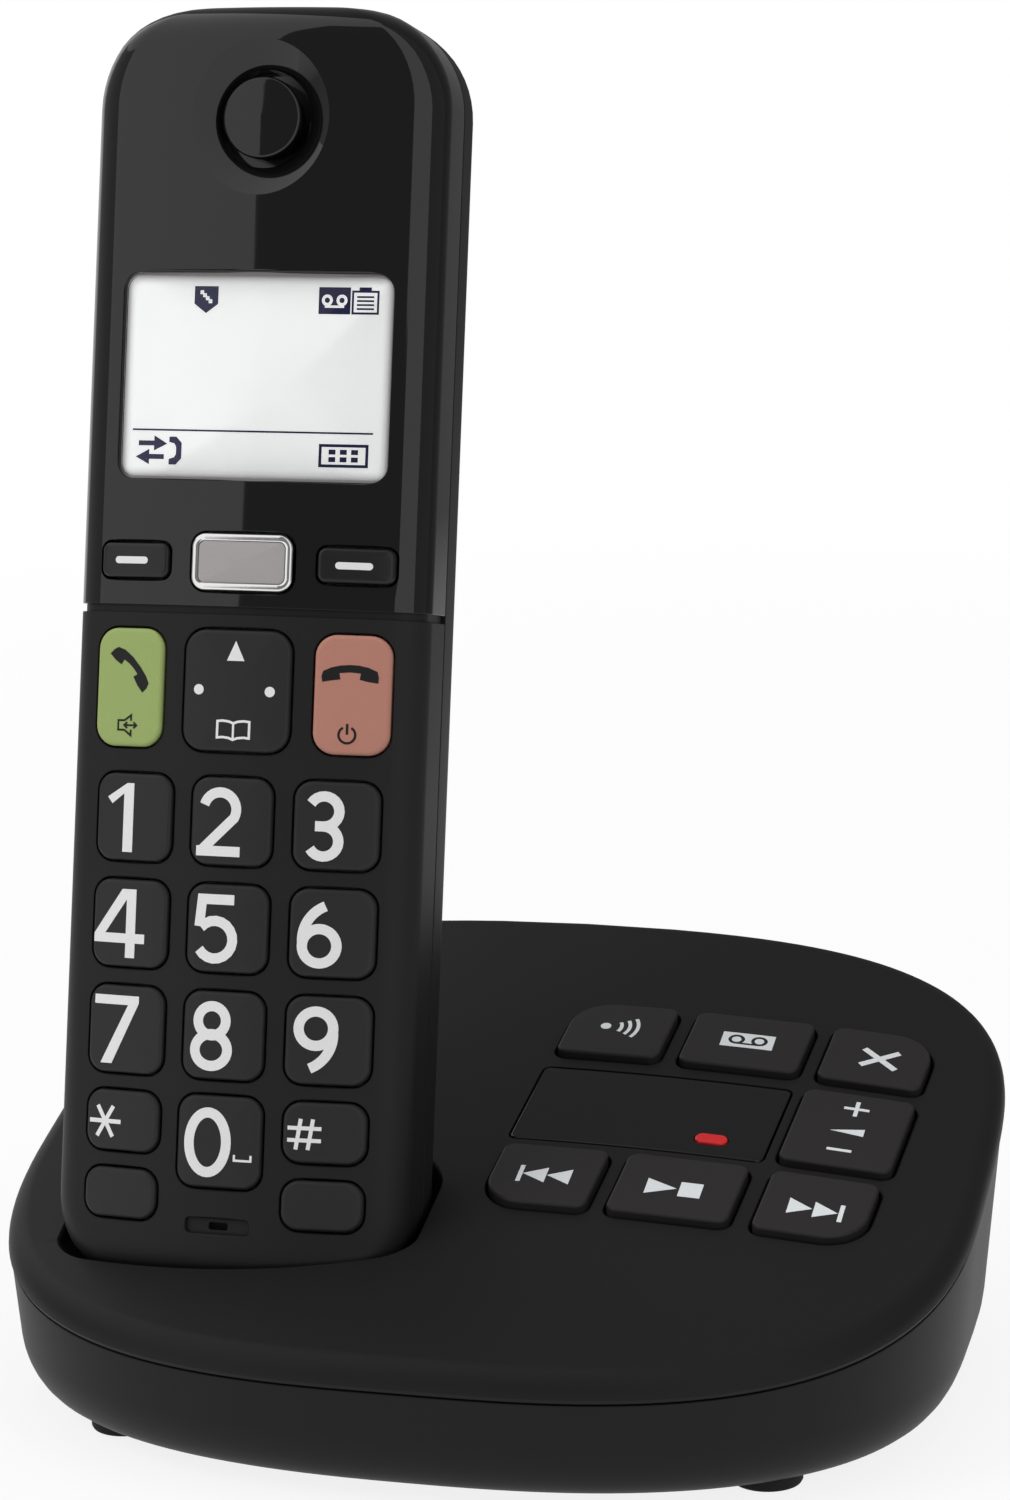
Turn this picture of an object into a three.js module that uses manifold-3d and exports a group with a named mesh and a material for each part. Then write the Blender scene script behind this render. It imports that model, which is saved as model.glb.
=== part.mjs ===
// Answering machine: a wedge-shaped base with tape-style controls, and a cordless handset in its cradle.
// Millimetres, +Z up. The origin is on the ground, under the middle of the base.

import * as THREE from 'three';
import { mergeVertices } from 'three/addons/utils/BufferGeometryUtils.js';
import Module from 'manifold-3d';

const wasm = await Module();
wasm.setup();

// Clearances shared by all pieces, and the share of a round that is kept where a wall would use it up
const gap = 0.3;
const overrun = 3;
const leastRoundShare = 0.25;

// Base housing
const baseWidth = 142;
const baseDepth = 113;
const baseTopHeight = 37.4;
const topSlopeDeg = 16.6;
const domeRadius = 500;
const frontExponent = 2.5;
const backExponent = 4;
const rimRadius = 3;
const seamDepth = 3.8;
const seamStep = 0.3;
const baseWall = 2.2;
const baseFloor = 2.4;
const draftDeg = 5.2;
const bottomRoundInset = 5;
const bottomRoundHeight = 8;
const deckRingShares = [0.8, 0.55, 0.3];

// Rubber feet
const footRadius = 5;
const footHeight = 2;
const footRecess = 0.8;
const footSideInset = 24.5;
const footFrontInset = 22.5;
const footBackInset = 18.5;

// Cradle and handset position: the point of the face on its centre line at the top row of digits
const handsetX = -31.75;
const handsetY = -22.7;
const handsetZ = 86.5;
const leanDeg = 12.4;
const cradleSide = 1.2;
const cradleFront = 0.5;
const cradleBack = 1;
const cradleWall = 1.8;
const cradleCorner = 10;
const cradleHeight = 60;

// Handset body, in its face frame: x right, y up the face, z out of the face
const handsetWidth = 52;
const handsetThickness = 26;
const handsetTop = 115;
const handsetBottom = -66;
const topCorner = 14.5;
const bottomCorner = 12;
const endEdge = 6;
const faceRadius = 77;
const backRadius = 220;
const frontEdge = 4;
const backEdge = 9;
const shellWall = 2;
const partingDepth = 13.8;
const splitShare = 0.2565;
const grooveWidth = 1.1;
const grooveDepth = 0.6;

// Keys of the handset
const keyGap = 0.4;
const keyLip = 0.8;
const keyLipThickness = 0.9;
const keyTravel = 0.6;
const keyEdge = 0.7;
const keyRise = 0.55;
const columnSideSpace = 11.1;
const rowPitch = 15;
const digitSpace = 3.1;
const digitHeight = 12.3;
const digitRadius = 2.5;
const zeroSpace = 2.6;
const zeroHeight = 12.9;
const zeroY = -44.9;
const starSpace = 3.4;
const starHeight = 8.5;
const starY = -42.9;
const lowerKeySpace = 3.6;
const lowerKeyHeight = 7;
const lowerKeyY = -53.1;
const callKeySideSpace = 9.6;
const callKeyPlaceShare = 0.1591;
const callKeyWidth = 10.5;
const callKeyHeightShare = 0.1452;
const callKeyRadius = 3;
const navSpace = 3.35;
const navHeightShare = 0.1478;
const navLipThickness = 0.5;
const navDrop = 0.55;
const softKeySideSpace = 9.7;
const softKeyPlaceShare = 0.3157;
const softKeyWidth = 10.7;
const softKeyHeight = 4.9;
const softKeyRadius = 1.2;
const messageSpace = 3.5;
const messageHeight = 8;
const messageRadius = 2;

// Display of the handset
const windowSideSpace = 6.1;
const windowPlaceShare = 0.5435;
const windowHeightShare = 0.253;
const windowRadius = 2.5;
const lensRecess = 0.2;
const lensEdge = 0.6;
const displayFrameSide = 1.8;
const displayFrameEnd = 2.45;
const displayGlassHeight = 2.4;

// Earpiece and receiver
const earpieceTopSpace = 16.2;
const dishRadius = 11;
const dishDepth = 2.6;
const earBoreRadius = 6.9;
const earBossRadius = 12.6;
const earBossDepth = 5.4;
const earDiscRadius = 5.8;
const earDiscDome = 1.2;
const earDiscTop = 0.6;
const earDiscShoulderShares = [0.7, 0.4];
const earFlangeRadius = 8.6;
const earFlange = 1;
const receiverRadius = 9;
const receiverThickness = 4.4;

// Microphone
const micY = -56.8;
const micSlotWidth = 9.3;
const micSlotHeight = 2.1;
const micSlotDepth = 0.8;
const micSlotCorner = 0.5;
const micHoleWidth = 2.8;
const micHoleHeight = 1.1;
const micHoleCorner = 0.3;
const micRadius = 2.4;

// Keypad mat and handset circuit board
const boardDepth = 8.9;
const boardThickness = 1.2;
const handsetBoardSideSpace = 5;
const handsetBoardBottom = -60;
const handsetBoardEarSpace = 10.8;
const handsetBoardCorner = 4;
const matSideSpace = 4;
const matWindowSpace = 6.4;
const matBottom = -57.6;
const matCorner = 3;
const matNotchWidth = 17;
const matNotchHeight = 5.6;

// Cells and battery bay
const cellRadius = 5.25;
const cellLength = 44.5;
const cellNubRadius = 1.9;
const cellNub = 0.8;
const cellSpacing = 11.2;
const bayY = -8;
const bayEndSpace = 1.6;
const bayWall = 1.5;
const doorWall = 1.6;
const doorWidth = 31;
const doorTop = 20;
const doorBottom = -35.5;
const doorCorner = 3;
const ledge = 1.6;
const ledgeThickness = 1.6;

// Handset screws
const handsetScrewX = 5.9;
const handsetScrewY = -55.2;
const handsetPost = 2.5;
const handsetPostBack = 3.2;
const handsetScrewRadius = 1.1;
const handsetScrewHead = 2.2;
const handsetHeadHeight = 1.4;
const handsetHeadDepth = 22.4;
const handsetScrewLength = 16;

// Charging pads on the handset and spring contacts in the cradle
const padX = 9;
const padDepth = 16.8;
const padWidth = 5;
const padSize = 3.2;
const padThickness = 0.6;
const padInset = 0.1;
const contactWidth = 3;
const contactSize = 2.6;
const contactLength = 9;
const sleeveWall = 1.4;
const sleeveLength = 6.4;

// Control panel of the base, in its own face frame: x right, y up the slope, z out of the surface
const panelX = 29;
const panelY = 10.5;
const baseKeyGap = 0.45;
const baseKeyRise = 1.2;
const baseKeyEdge = 0.9;
const baseKeyLip = 0.7;
const baseKeySmall = 1.6;
const baseKeyLarge = 6;
const leftColumn = -17.5;
const middleColumn = 1.9;
const rightColumn = 21.6;
const rowShift = 0.8;
const leftKeyWidth = 15.5;
const middleKeyWidth = 17.7;
const rightKeyWidth = 15.3;
const frontRow = -25.7;
const backRow = 13.2;
const baseKeyHeight = 15.6;
const volumeX = 21.5;
const volumeY = -6.1;
const volumeWidth = 15.8;
const volumeHeight = 19.4;
const displayX = -7.2;
const displayY = -5.2;
const displayWidth = 36.6;
const displayHeight = 18.6;
const displayRadius = 1;
const lightX = 2.5;
const lightY = -10.6;
const lightWidth = 4.8;
const lightHeight = 2.4;
const baseBoardLeft = -27;
const baseBoardFront = -34.5;
const baseBoardSideSpace = 12;
const baseBoardBackSpace = 23.5;
const baseBoardDepth = 5.8;
const baseBoardThickness = 1.6;

// Loudspeaker
const speakerX = -32;
const speakerBackInset = 34.5;
const speakerRadius = 18;
const speakerHeight = 11;
const speakerMagnetRadius = 11;
const speakerRimHeight = 3;
const speakerRing = 1.5;
const speakerRingHeight = 5;
const grilleSlots = 5;
const grillePitch = 5;
const grilleSlotWidth = 1.8;
const grilleSlotLength = 22;

// Sockets in the back wall
const lineSocketX = -18;
const lineSocketWidth = 13;
const lineMouthWidth = 9.8;
const powerSocketX = 22;
const powerSocketWidth = 11;
const powerMouthWidth = 7.8;
const socketHeight = 12;
const socketLength = 15;
const socketMouthHeight = 6.8;
const socketMouthDepth = 11.5;
const socketBottom = 12;
const socketFaceInset = 4.5;

// Base screws
const frontScrewX = 6;
const frontScrewInset = 14.5;
const backScrewX = 2;
const backScrewInset = 11;
const basePostRadius = 3.6;
const basePostTop = 12;
const baseScrewRadius = 1.4;
const baseScrewHead = 2.8;
const baseHeadHeight = 1.6;
const baseHeadRecess = 4;
const baseScrewLength = 13;

// Fineness of the facets
const quadrantSteps = 10;
const cornerSteps = 3;
const endSteps = 5;
const keyCornerSteps = 2;
const turnedSteps = 20;
const smallTurnedSteps = 12;

const slope = Math.tan(THREE.MathUtils.degToRad(topSlopeDeg));
const draft = Math.tan(THREE.MathUtils.degToRad(draftDeg));
const lean = THREE.MathUtils.degToRad(leanDeg);

// Places that keep their distance from the walls of the base
const speakerY = baseDepth / 2 - speakerBackInset;
const socketFaceY = baseDepth / 2 - socketFaceInset;

// Places and sizes that follow the handset's width and length
const columnPitch = handsetWidth / 2 - columnSideSpace;
const digitWidth = columnPitch - digitSpace;
const callKeyX = handsetWidth / 2 - callKeySideSpace;
const navWidth = 2 * (callKeyX - callKeyWidth / 2 - navSpace);
const softKeyX = handsetWidth / 2 - softKeySideSpace;
const messageWidth = 2 * (softKeyX - softKeyWidth / 2 - messageSpace);
const earpieceY = handsetTop - earpieceTopSpace;
const windowWidth = handsetWidth - 2 * windowSideSpace;
const windowHeight = handsetTop * windowHeightShare;
const windowY = handsetTop * windowPlaceShare;
const splitHeight = handsetTop * splitShare;
const callKeyY = handsetTop * callKeyPlaceShare;
const callKeyHeight = handsetTop * callKeyHeightShare;
const navHeight = handsetTop * navHeightShare;
const softKeyY = handsetTop * softKeyPlaceShare;

const plastic = (color, roughness, metalness = 0) =>
  new THREE.MeshStandardMaterial({ color, roughness, metalness, flatShading: true });
const finishes = {
  mattBlack: plastic(0x2a2a2c, 0.6),
  baseBlack: plastic(0x262626, 0.55),
  glossBlack: plastic(0x050505, 0.08),
  keyBlack: plastic(0x222223, 0.55),
  keyGrey: plastic(0x302e2f, 0.5),
  green: plastic(0x9cb36c, 0.5),
  red: plastic(0xb8806f, 0.5),
  silver: plastic(0xc8c8c8, 0.2, 0.9),
  contact: plastic(0xd0b070, 0.25, 1),
  steel: plastic(0x9a9a9c, 0.35, 1),
  lens: plastic(0xdfe6e6, 0.05),
  display: plastic(0xeef0ef, 0.4),
  board: plastic(0x1f5c3a, 0.6),
  mat: plastic(0x8f9391, 0.8),
  rubber: plastic(0x151515, 0.9),
  cell: plastic(0x3c6f9c, 0.35),
  light: plastic(0xd7141a, 0.3),
  speaker: plastic(0x1b1b1b, 0.7),
};

// Makes a solid of a closed geometry, without the triangles that collapse at an axis or a pole
function solidOf(geometry) {
  const bare = new THREE.BufferGeometry();
  bare.setAttribute('position', geometry.getAttribute('position').clone());
  if (geometry.index) bare.setIndex(geometry.index.clone());
  const merged = mergeVertices(bare);
  const kept = [];
  const source = merged.index.array;
  for (let i = 0; i < source.length; i += 3) {
    const [a, b, c] = [source[i], source[i + 1], source[i + 2]];
    if (a !== b && b !== c && c !== a) kept.push(a, b, c);
  }
  return new wasm.Manifold(new wasm.Mesh({
    numProp: 3,
    vertProperties: new Float32Array(merged.getAttribute('position').array),
    triVerts: new Uint32Array(kept),
  }));
}

function geometryOf(solid) {
  const { vertProperties, triVerts, numProp } = solid.getMesh();
  const geometry = new THREE.BufferGeometry();
  const positions = new Float32Array((vertProperties.length / numProp) * 3);
  for (let i = 0; i < positions.length / 3; i += 1) {
    positions.set(vertProperties.subarray(i * numProp, i * numProp + 3), i * 3);
  }
  geometry.setAttribute('position', new THREE.BufferAttribute(positions, 3));
  geometry.setIndex(new THREE.BufferAttribute(new Uint32Array(triVerts), 1));
  geometry.computeVertexNormals();
  return geometry;
}

// Skins a stack of convex rings that run anticlockwise about the stack's direction, and caps both ends
function loft(rings) {
  const count = rings[0].length;
  const positions = rings.flat().flatMap((point) => point.toArray());
  const index = [];
  for (let level = 0; level + 1 < rings.length; level += 1) {
    for (let i = 0; i < count; i += 1) {
      const a = level * count + i;
      const b = level * count + ((i + 1) % count);
      index.push(a, b, b + count, a, b + count, a + count);
    }
  }
  for (const level of [0, rings.length - 1]) {
    const centre = rings[level].reduce((sum, point) => sum.add(point), new THREE.Vector3());
    positions.push(...centre.divideScalar(count).toArray());
    const hub = positions.length / 3 - 1;
    for (let i = 0; i < count; i += 1) {
      const a = level * count + i;
      const b = level * count + ((i + 1) % count);
      index.push(...(level === 0 ? [hub, b, a] : [hub, a, b]));
    }
  }
  const geometry = new THREE.BufferGeometry();
  geometry.setAttribute('position', new THREE.Float32BufferAttribute(positions, 3));
  geometry.setIndex(index);
  return solidOf(geometry);
}

function roundedRect(width, height, radius, x = 0, y = 0) {
  const [left, right] = [x - width / 2, x + width / 2];
  const [low, high] = [y - height / 2, y + height / 2];
  const shape = new THREE.Shape();
  shape.moveTo(left + radius, low);
  shape.lineTo(right - radius, low);
  shape.absarc(right - radius, low + radius, radius, -Math.PI / 2, 0, false);
  shape.lineTo(right, high - radius);
  shape.absarc(right - radius, high - radius, radius, 0, Math.PI / 2, false);
  shape.lineTo(left + radius, high);
  shape.absarc(left + radius, high - radius, radius, Math.PI / 2, Math.PI, false);
  shape.lineTo(left, low + radius);
  shape.absarc(left + radius, low + radius, radius, Math.PI, Math.PI * 1.5, false);
  return shape;
}

function prism(shape, from, to) {
  const options = { depth: to - from, bevelEnabled: false, curveSegments: cornerSteps };
  return solidOf(new THREE.ExtrudeGeometry(shape, options).translate(0, 0, from));
}

function block(x, y, z) {
  const geometry = new THREE.BoxGeometry(x[1] - x[0], y[1] - y[0], z[1] - z[0]);
  return solidOf(geometry.translate((x[0] + x[1]) / 2, (y[0] + y[1]) / 2, (z[0] + z[1]) / 2));
}

// A round bar along z
function bar(radius, from, to, x = 0, y = 0, steps = smallTurnedSteps) {
  const geometry = new THREE.CylinderGeometry(radius, radius, to - from, steps).rotateX(Math.PI / 2);
  return solidOf(geometry.translate(x, y, (from + to) / 2));
}

// A turned solid about z, from a profile of [radius, z] that starts and ends on the axis, from low to high
function turned(profile, x = 0, y = 0, steps = smallTurnedSteps) {
  const points = profile.map(([radius, height]) => new THREE.Vector2(radius, height));
  const geometry = new THREE.LatheGeometry(points, steps).rotateX(Math.PI / 2);
  return solidOf(geometry.translate(x, y, 0));
}

const sum = (solids) => solids.reduce((whole, solid) => whole.add(solid));
const cut = (solid, tools) => tools.reduce((rest, tool) => rest.subtract(tool), solid);

// How far a quarter round has fallen back at a distance from the end where it starts
function roundDrop(distance, radius) {
  const left = THREE.MathUtils.clamp(radius - distance, 0, radius);
  return radius - Math.sqrt(radius * radius - left * left);
}

const model = new THREE.Group();

function addPiece(group, name, solid, material) {
  const mesh = new THREE.Mesh(geometryOf(solid), material);
  mesh.name = name;
  group.add(mesh);
}

// Base: a rounded wedge, round at the front and squarer at the back, under a crowned sloping top
const topSurface = (x, y) => baseTopHeight + slope * y - (x * x) / (2 * domeRadius);
const floorLevel = footHeight + baseFloor;

function baseRing(inset, share, heightAt) {
  const [halfWidth, halfDepth] = [baseWidth / 2 - inset, baseDepth / 2 - inset];
  const ring = [];
  for (let i = 0; i < 4 * quadrantSteps; i += 1) {
    const angle = (i / quadrantSteps) * (Math.PI / 2);
    const [c, s] = [Math.cos(angle), Math.sin(angle)];
    const power = 2 / (s > 0 ? backExponent : frontExponent);
    const x = share * halfWidth * Math.sign(c) * Math.abs(c) ** power;
    const y = share * halfDepth * Math.sign(s) * Math.abs(s) ** power;
    ring.push(new THREE.Vector3(x, y, heightAt(x, y)));
  }
  return ring;
}

// The domed deck and its rounded rim, a skin's depth under the outside, down to a depth below the deck
function deckSolid(skin, bottomRings) {
  const rings = [...bottomRings];
  const radius = Math.max(rimRadius - skin, rimRadius * leastRoundShare);
  for (let i = 0; i <= cornerSteps; i += 1) {
    const angle = (i / cornerSteps) * (Math.PI / 2);
    const inset = skin + radius * (1 - Math.cos(angle));
    const depth = skin + radius * (1 - Math.sin(angle));
    rings.push(baseRing(inset, 1, (x, y) => topSurface(x, y) - depth));
  }
  for (const share of deckRingShares) {
    rings.push(baseRing(skin + radius, share, (x, y) => topSurface(x, y) - skin));
  }
  return loft(rings);
}

// The lower shell's outside, or its inside a skin's depth in, up to a rise above the seam
function lowerSolid(skin, bottom, rise) {
  const seamAt = (x, y) => topSurface(x, y) - seamDepth - gap / 2;
  const rings = [];
  for (let i = 0; i <= cornerSteps; i += 1) {
    const angle = (i / cornerSteps) * (Math.PI / 2);
    const height = bottom + (bottomRoundHeight - skin / 2) * (1 - Math.cos(angle));
    const round = bottomRoundInset * (1 - Math.sin(angle));
    const outer = baseRing(seamStep + skin + round, 1, () => height);
    rings.push(outer.map((point) => {
      const taper = 1 - (draft * (seamAt(point.x, point.y) - height)) / (baseWidth / 2);
      return new THREE.Vector3(point.x * taper, point.y * taper, height);
    }));
  }
  rings.push(baseRing(seamStep + skin, 1, (x, y) => seamAt(x, y) + rise));
  return loft(rings);
}

const atSeam = (x, y) => topSurface(x, y) - seamDepth + gap / 2;
const coverOutside = deckSolid(0, [baseRing(seamStep, 1, atSeam)]);
const belowSeam = (skin) => [baseRing(skin, 1, (x, y) => topSurface(x, y) - seamDepth - overrun)];
const coverInside = deckSolid(baseWall, belowSeam(baseWall));
const deckReach = deckSolid(0, [baseRing(0, 1, (x, y) => topSurface(x, y) - cradleHeight)]);

// Handset: a long body with a crowned face, in its face frame
const faceSag = (x) => (x * x) / (2 * faceRadius);

function handsetSection(height, halfWidth, front, back, frontCorner, backCorner) {
  const outline = [];
  const corner = (x, depth, radius, from) => {
    for (let i = 0; i <= cornerSteps; i += 1) {
      const angle = from + (i / cornerSteps) * (Math.PI / 2);
      outline.push([x + radius * Math.cos(angle), depth + radius * Math.sin(angle)]);
    }
  };
  const straight = (depth, from, to, steps) => {
    for (let i = 1; i < steps; i += 1) outline.push([from + ((to - from) * i) / steps, depth]);
  };
  corner(-halfWidth + frontCorner, front + frontCorner, frontCorner, Math.PI);
  straight(front, -halfWidth + frontCorner, halfWidth - frontCorner, 2 * cornerSteps);
  corner(halfWidth - frontCorner, front + frontCorner, frontCorner, -Math.PI / 2);
  corner(halfWidth - backCorner, back - backCorner, backCorner, 0);
  straight(back, halfWidth - backCorner, -halfWidth + backCorner, cornerSteps);
  corner(-halfWidth + backCorner, back - backCorner, backCorner, Math.PI / 2);
  return outline.map(([x, depth]) => {
    const share = (depth - front) / (back - front);
    const crowned = depth + faceSag(x) * (1 - share) - ((x * x) / (2 * backRadius)) * share;
    return new THREE.Vector3(x, height, -crowned);
  });
}

// A body of handset form, with rounded ends where they are given a corner and an edge
function bodySolid({ halfWidth, front, back, frontCorner, backCorner, bottom, top }) {
  const rings = [];
  const section = (height, widthDrop, edgeDrop) => handsetSection(
    height, halfWidth - widthDrop, front + edgeDrop, back - edgeDrop, frontCorner, backCorner);
  const steps = Array.from({ length: endSteps + 1 }, (_, i) => (i / endSteps) * (Math.PI / 2));
  const endRing = (end, direction, angle) => {
    const rise = end.corner * (1 - Math.cos(angle));
    const widthDrop = end.corner * (1 - Math.sin(angle));
    rings.push(section(end.at + direction * rise, widthDrop, roundDrop(rise, end.edge)));
  };
  for (const angle of bottom.corner ? steps : [0]) endRing(bottom, 1, angle);
  for (const angle of top.corner ? [...steps].reverse() : [0]) endRing(top, -1, angle);
  return loft(rings);
}

const innerRound = (radius, inset) => Math.max(radius - inset, radius * leastRoundShare);
const handsetBody = (inset) => bodySolid({
  halfWidth: handsetWidth / 2 - inset,
  front: inset,
  back: handsetThickness - inset,
  frontCorner: innerRound(frontEdge, inset),
  backCorner: innerRound(backEdge, inset),
  bottom: {
    at: handsetBottom + inset, corner: innerRound(bottomCorner, inset), edge: innerRound(endEdge, inset),
  },
  top: { at: handsetTop - inset, corner: innerRound(topCorner, inset), edge: innerRound(endEdge, inset) },
});

const cradleBody = (growth) => bodySolid({
  halfWidth: handsetWidth / 2 + cradleSide + growth,
  front: -cradleFront - growth,
  back: handsetThickness + cradleBack + growth,
  frontCorner: frontEdge + growth,
  backCorner: backEdge + growth,
  bottom: {
    at: handsetBottom - gap - growth, corner: cradleCorner + growth, edge: endEdge - cradleBack + growth,
  },
  top: { at: handsetBottom + cradleHeight, corner: 0, edge: 0 },
});

const outside = handsetBody(0);
const inside = handsetBody(shellWall);
const skin = outside.subtract(inside);
const wide = handsetWidth;
const faceHalf = (from, to) => block([-wide, wide], [from, to], [-partingDepth + gap / 2, overrun]);
const backHalf = block([-wide, wide], [handsetBottom - overrun, handsetTop + overrun],
  [-handsetThickness - overrun, -partingDepth - gap / 2]);

// A key: a cap that follows its face's crown over a lip that holds it under the wall
function keyOutline({ width, height, corners }, grow) {
  const ring = [];
  const places = [[1, 1], [-1, 1], [-1, -1], [1, -1]];
  places.forEach(([sideX, sideY], index) => {
    const radius = Math.max(corners[index] + grow, keyEdge * leastRoundShare);
    const x = sideX * (width / 2 + grow - radius);
    const y = sideY * (height / 2 + grow - radius);
    for (let i = 0; i <= keyCornerSteps; i += 1) {
      const angle = (index + i / keyCornerSteps) * (Math.PI / 2);
      ring.push([x + radius * Math.cos(angle), y + radius * Math.sin(angle)]);
    }
  });
  return ring;
}

function keyCap(key, { rise, edge, lip, seat, lipThickness, sag }) {
  const level = (grow, z) => keyOutline(key, grow)
    .map(([x, y]) => new THREE.Vector3(key.x + x, key.y + y, z - sag(key.x + x)));
  const arc = Math.SQRT1_2;
  return loft([
    level(lip, -seat - lipThickness),
    level(lip, -seat),
    level(0, -seat),
    level(0, rise - edge),
    level(-edge * (1 - arc), rise - edge * (1 - arc)),
    level(-edge, rise),
  ]);
}

function keyHole(key, clearance, from, to) {
  const points = keyOutline(key, clearance).map(([x, y]) => new THREE.Vector2(key.x + x, key.y + y));
  return prism(new THREE.Shape(points), from, to);
}

const alike = (radius) => [radius, radius, radius, radius];
const digit = (column, row) => ({
  x: column * columnPitch, y: -row * rowPitch, width: digitWidth, height: digitHeight,
  corners: alike(digitRadius),
});
const side = (name, x, y, width, height, radius) => ({ name, x, y, width, height, corners: alike(radius) });
const digitNames = ['key_1', 'key_2', 'key_3', 'key_4', 'key_5', 'key_6', 'key_7', 'key_8', 'key_9'];
const lowerKeys = [
  ...digitNames.map((name, i) => ({ name, ...digit((i % 3) - 1, Math.floor(i / 3)) })),
  side('key_star', -columnPitch, starY, columnPitch - starSpace, starHeight, digitRadius),
  side('key_0', 0, zeroY, columnPitch - zeroSpace, zeroHeight, digitRadius),
  side('key_hash', columnPitch, starY, columnPitch - starSpace, starHeight, digitRadius),
  side('lower_left_key', -columnPitch, lowerKeyY, columnPitch - lowerKeySpace, lowerKeyHeight, digitRadius),
  side('lower_right_key', columnPitch, lowerKeyY, columnPitch - lowerKeySpace, lowerKeyHeight, digitRadius),
  { ...side('talk_key', -callKeyX, callKeyY, callKeyWidth, callKeyHeight, callKeyRadius), finish: 'green' },
  { ...side('end_key', callKeyX, callKeyY, callKeyWidth, callKeyHeight, callKeyRadius), finish: 'red' },
];
const navKey = side('navigation_key', 0, callKeyY, navWidth, navHeight, callKeyRadius);
const softKey = (name, x) => ({
  ...side(name, x, softKeyY, softKeyWidth, softKeyHeight, softKeyRadius), finish: 'glossBlack',
});
const upperKeys = [
  softKey('soft_key_left', -softKeyX),
  { ...side('message_key', 0, softKeyY, messageWidth, messageHeight, messageRadius), finish: 'silver' },
  softKey('soft_key_right', softKeyX),
];
const handsetKeySeat = {
  rise: keyRise, edge: keyEdge, lip: keyLip, seat: shellWall + gap, lipThickness: keyLipThickness,
  sag: faceSag,
};
const navSeat = { ...handsetKeySeat, seat: shellWall + gap + navDrop, lipThickness: navLipThickness };
const faceHole = (key) => keyHole(key, keyGap, -boardDepth, overrun);

const handset = new THREE.Group();
handset.position.set(handsetX, handsetY, handsetZ);
handset.rotation.x = Math.PI / 2 - lean;
model.add(handset);

function lowerFront() {
  const splitLow = splitHeight - grooveWidth / 2;
  const tongue = handsetBody(grooveDepth).subtract(inside)
    .intersect(faceHalf(splitLow - shellWall, splitLow + grooveWidth - gap));
  const posts = [-1, 1].map((at) => bar(handsetPost, -partingDepth + gap / 2, -shellWall / 2,
    at * handsetScrewX, handsetScrewY));
  const bores = [-1, 1].map((at) => bar(handsetScrewRadius + gap, -partingDepth, -handsetHeadDepth
    + handsetScrewLength + gap, at * handsetScrewX, handsetScrewY));
  const slot = prism(roundedRect(micSlotWidth, micSlotHeight, micSlotCorner, 0, micY),
    -micSlotDepth, overrun);
  const hole = prism(roundedRect(micHoleWidth, micHoleHeight, micHoleCorner, 0, micY),
    -shellWall - gap, overrun);
  const keyHoles = [...lowerKeys, navKey].map(faceHole);
  const shell = skin.intersect(faceHalf(handsetBottom - overrun, splitLow));
  return cut(sum([shell, tongue, ...posts]), [...bores, slot, hole, ...keyHoles]);
}

function upperFront() {
  const shell = skin.intersect(faceHalf(splitHeight + grooveWidth / 2, handsetTop + overrun));
  const boss = bar(earBossRadius, -earBossDepth, -shellWall / 2, 0, earpieceY, turnedSteps);
  const throat = bar(earBoreRadius, -earBossDepth - overrun, 0, 0, earpieceY, turnedSteps);
  const flare = (dishRadius - earBoreRadius) / dishDepth;
  const dish = turned([[0, -dishDepth], [earBoreRadius, -dishDepth],
    [dishRadius + flare * overrun, overrun], [0, overrun]], 0, earpieceY, turnedSteps);
  const opening = roundedRect(windowWidth, windowHeight, windowRadius, 0, windowY);
  const view = prism(opening, -boardDepth, overrun);
  return cut(shell.add(boss), [throat, dish, view, ...upperKeys.map(faceHole)]);
}

const cellDepth = bayWall / 2 + boardDepth + boardThickness + bayWall + gap + cellRadius;
const bayDepth = cellDepth - cellRadius - gap;
const bayHalfWidth = cellSpacing / 2 + cellRadius + gap;
const bayHalfLength = cellLength / 2 + bayEndSpace;
const doorMiddle = (doorTop + doorBottom) / 2;
const doorLength = doorTop - doorBottom;

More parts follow.
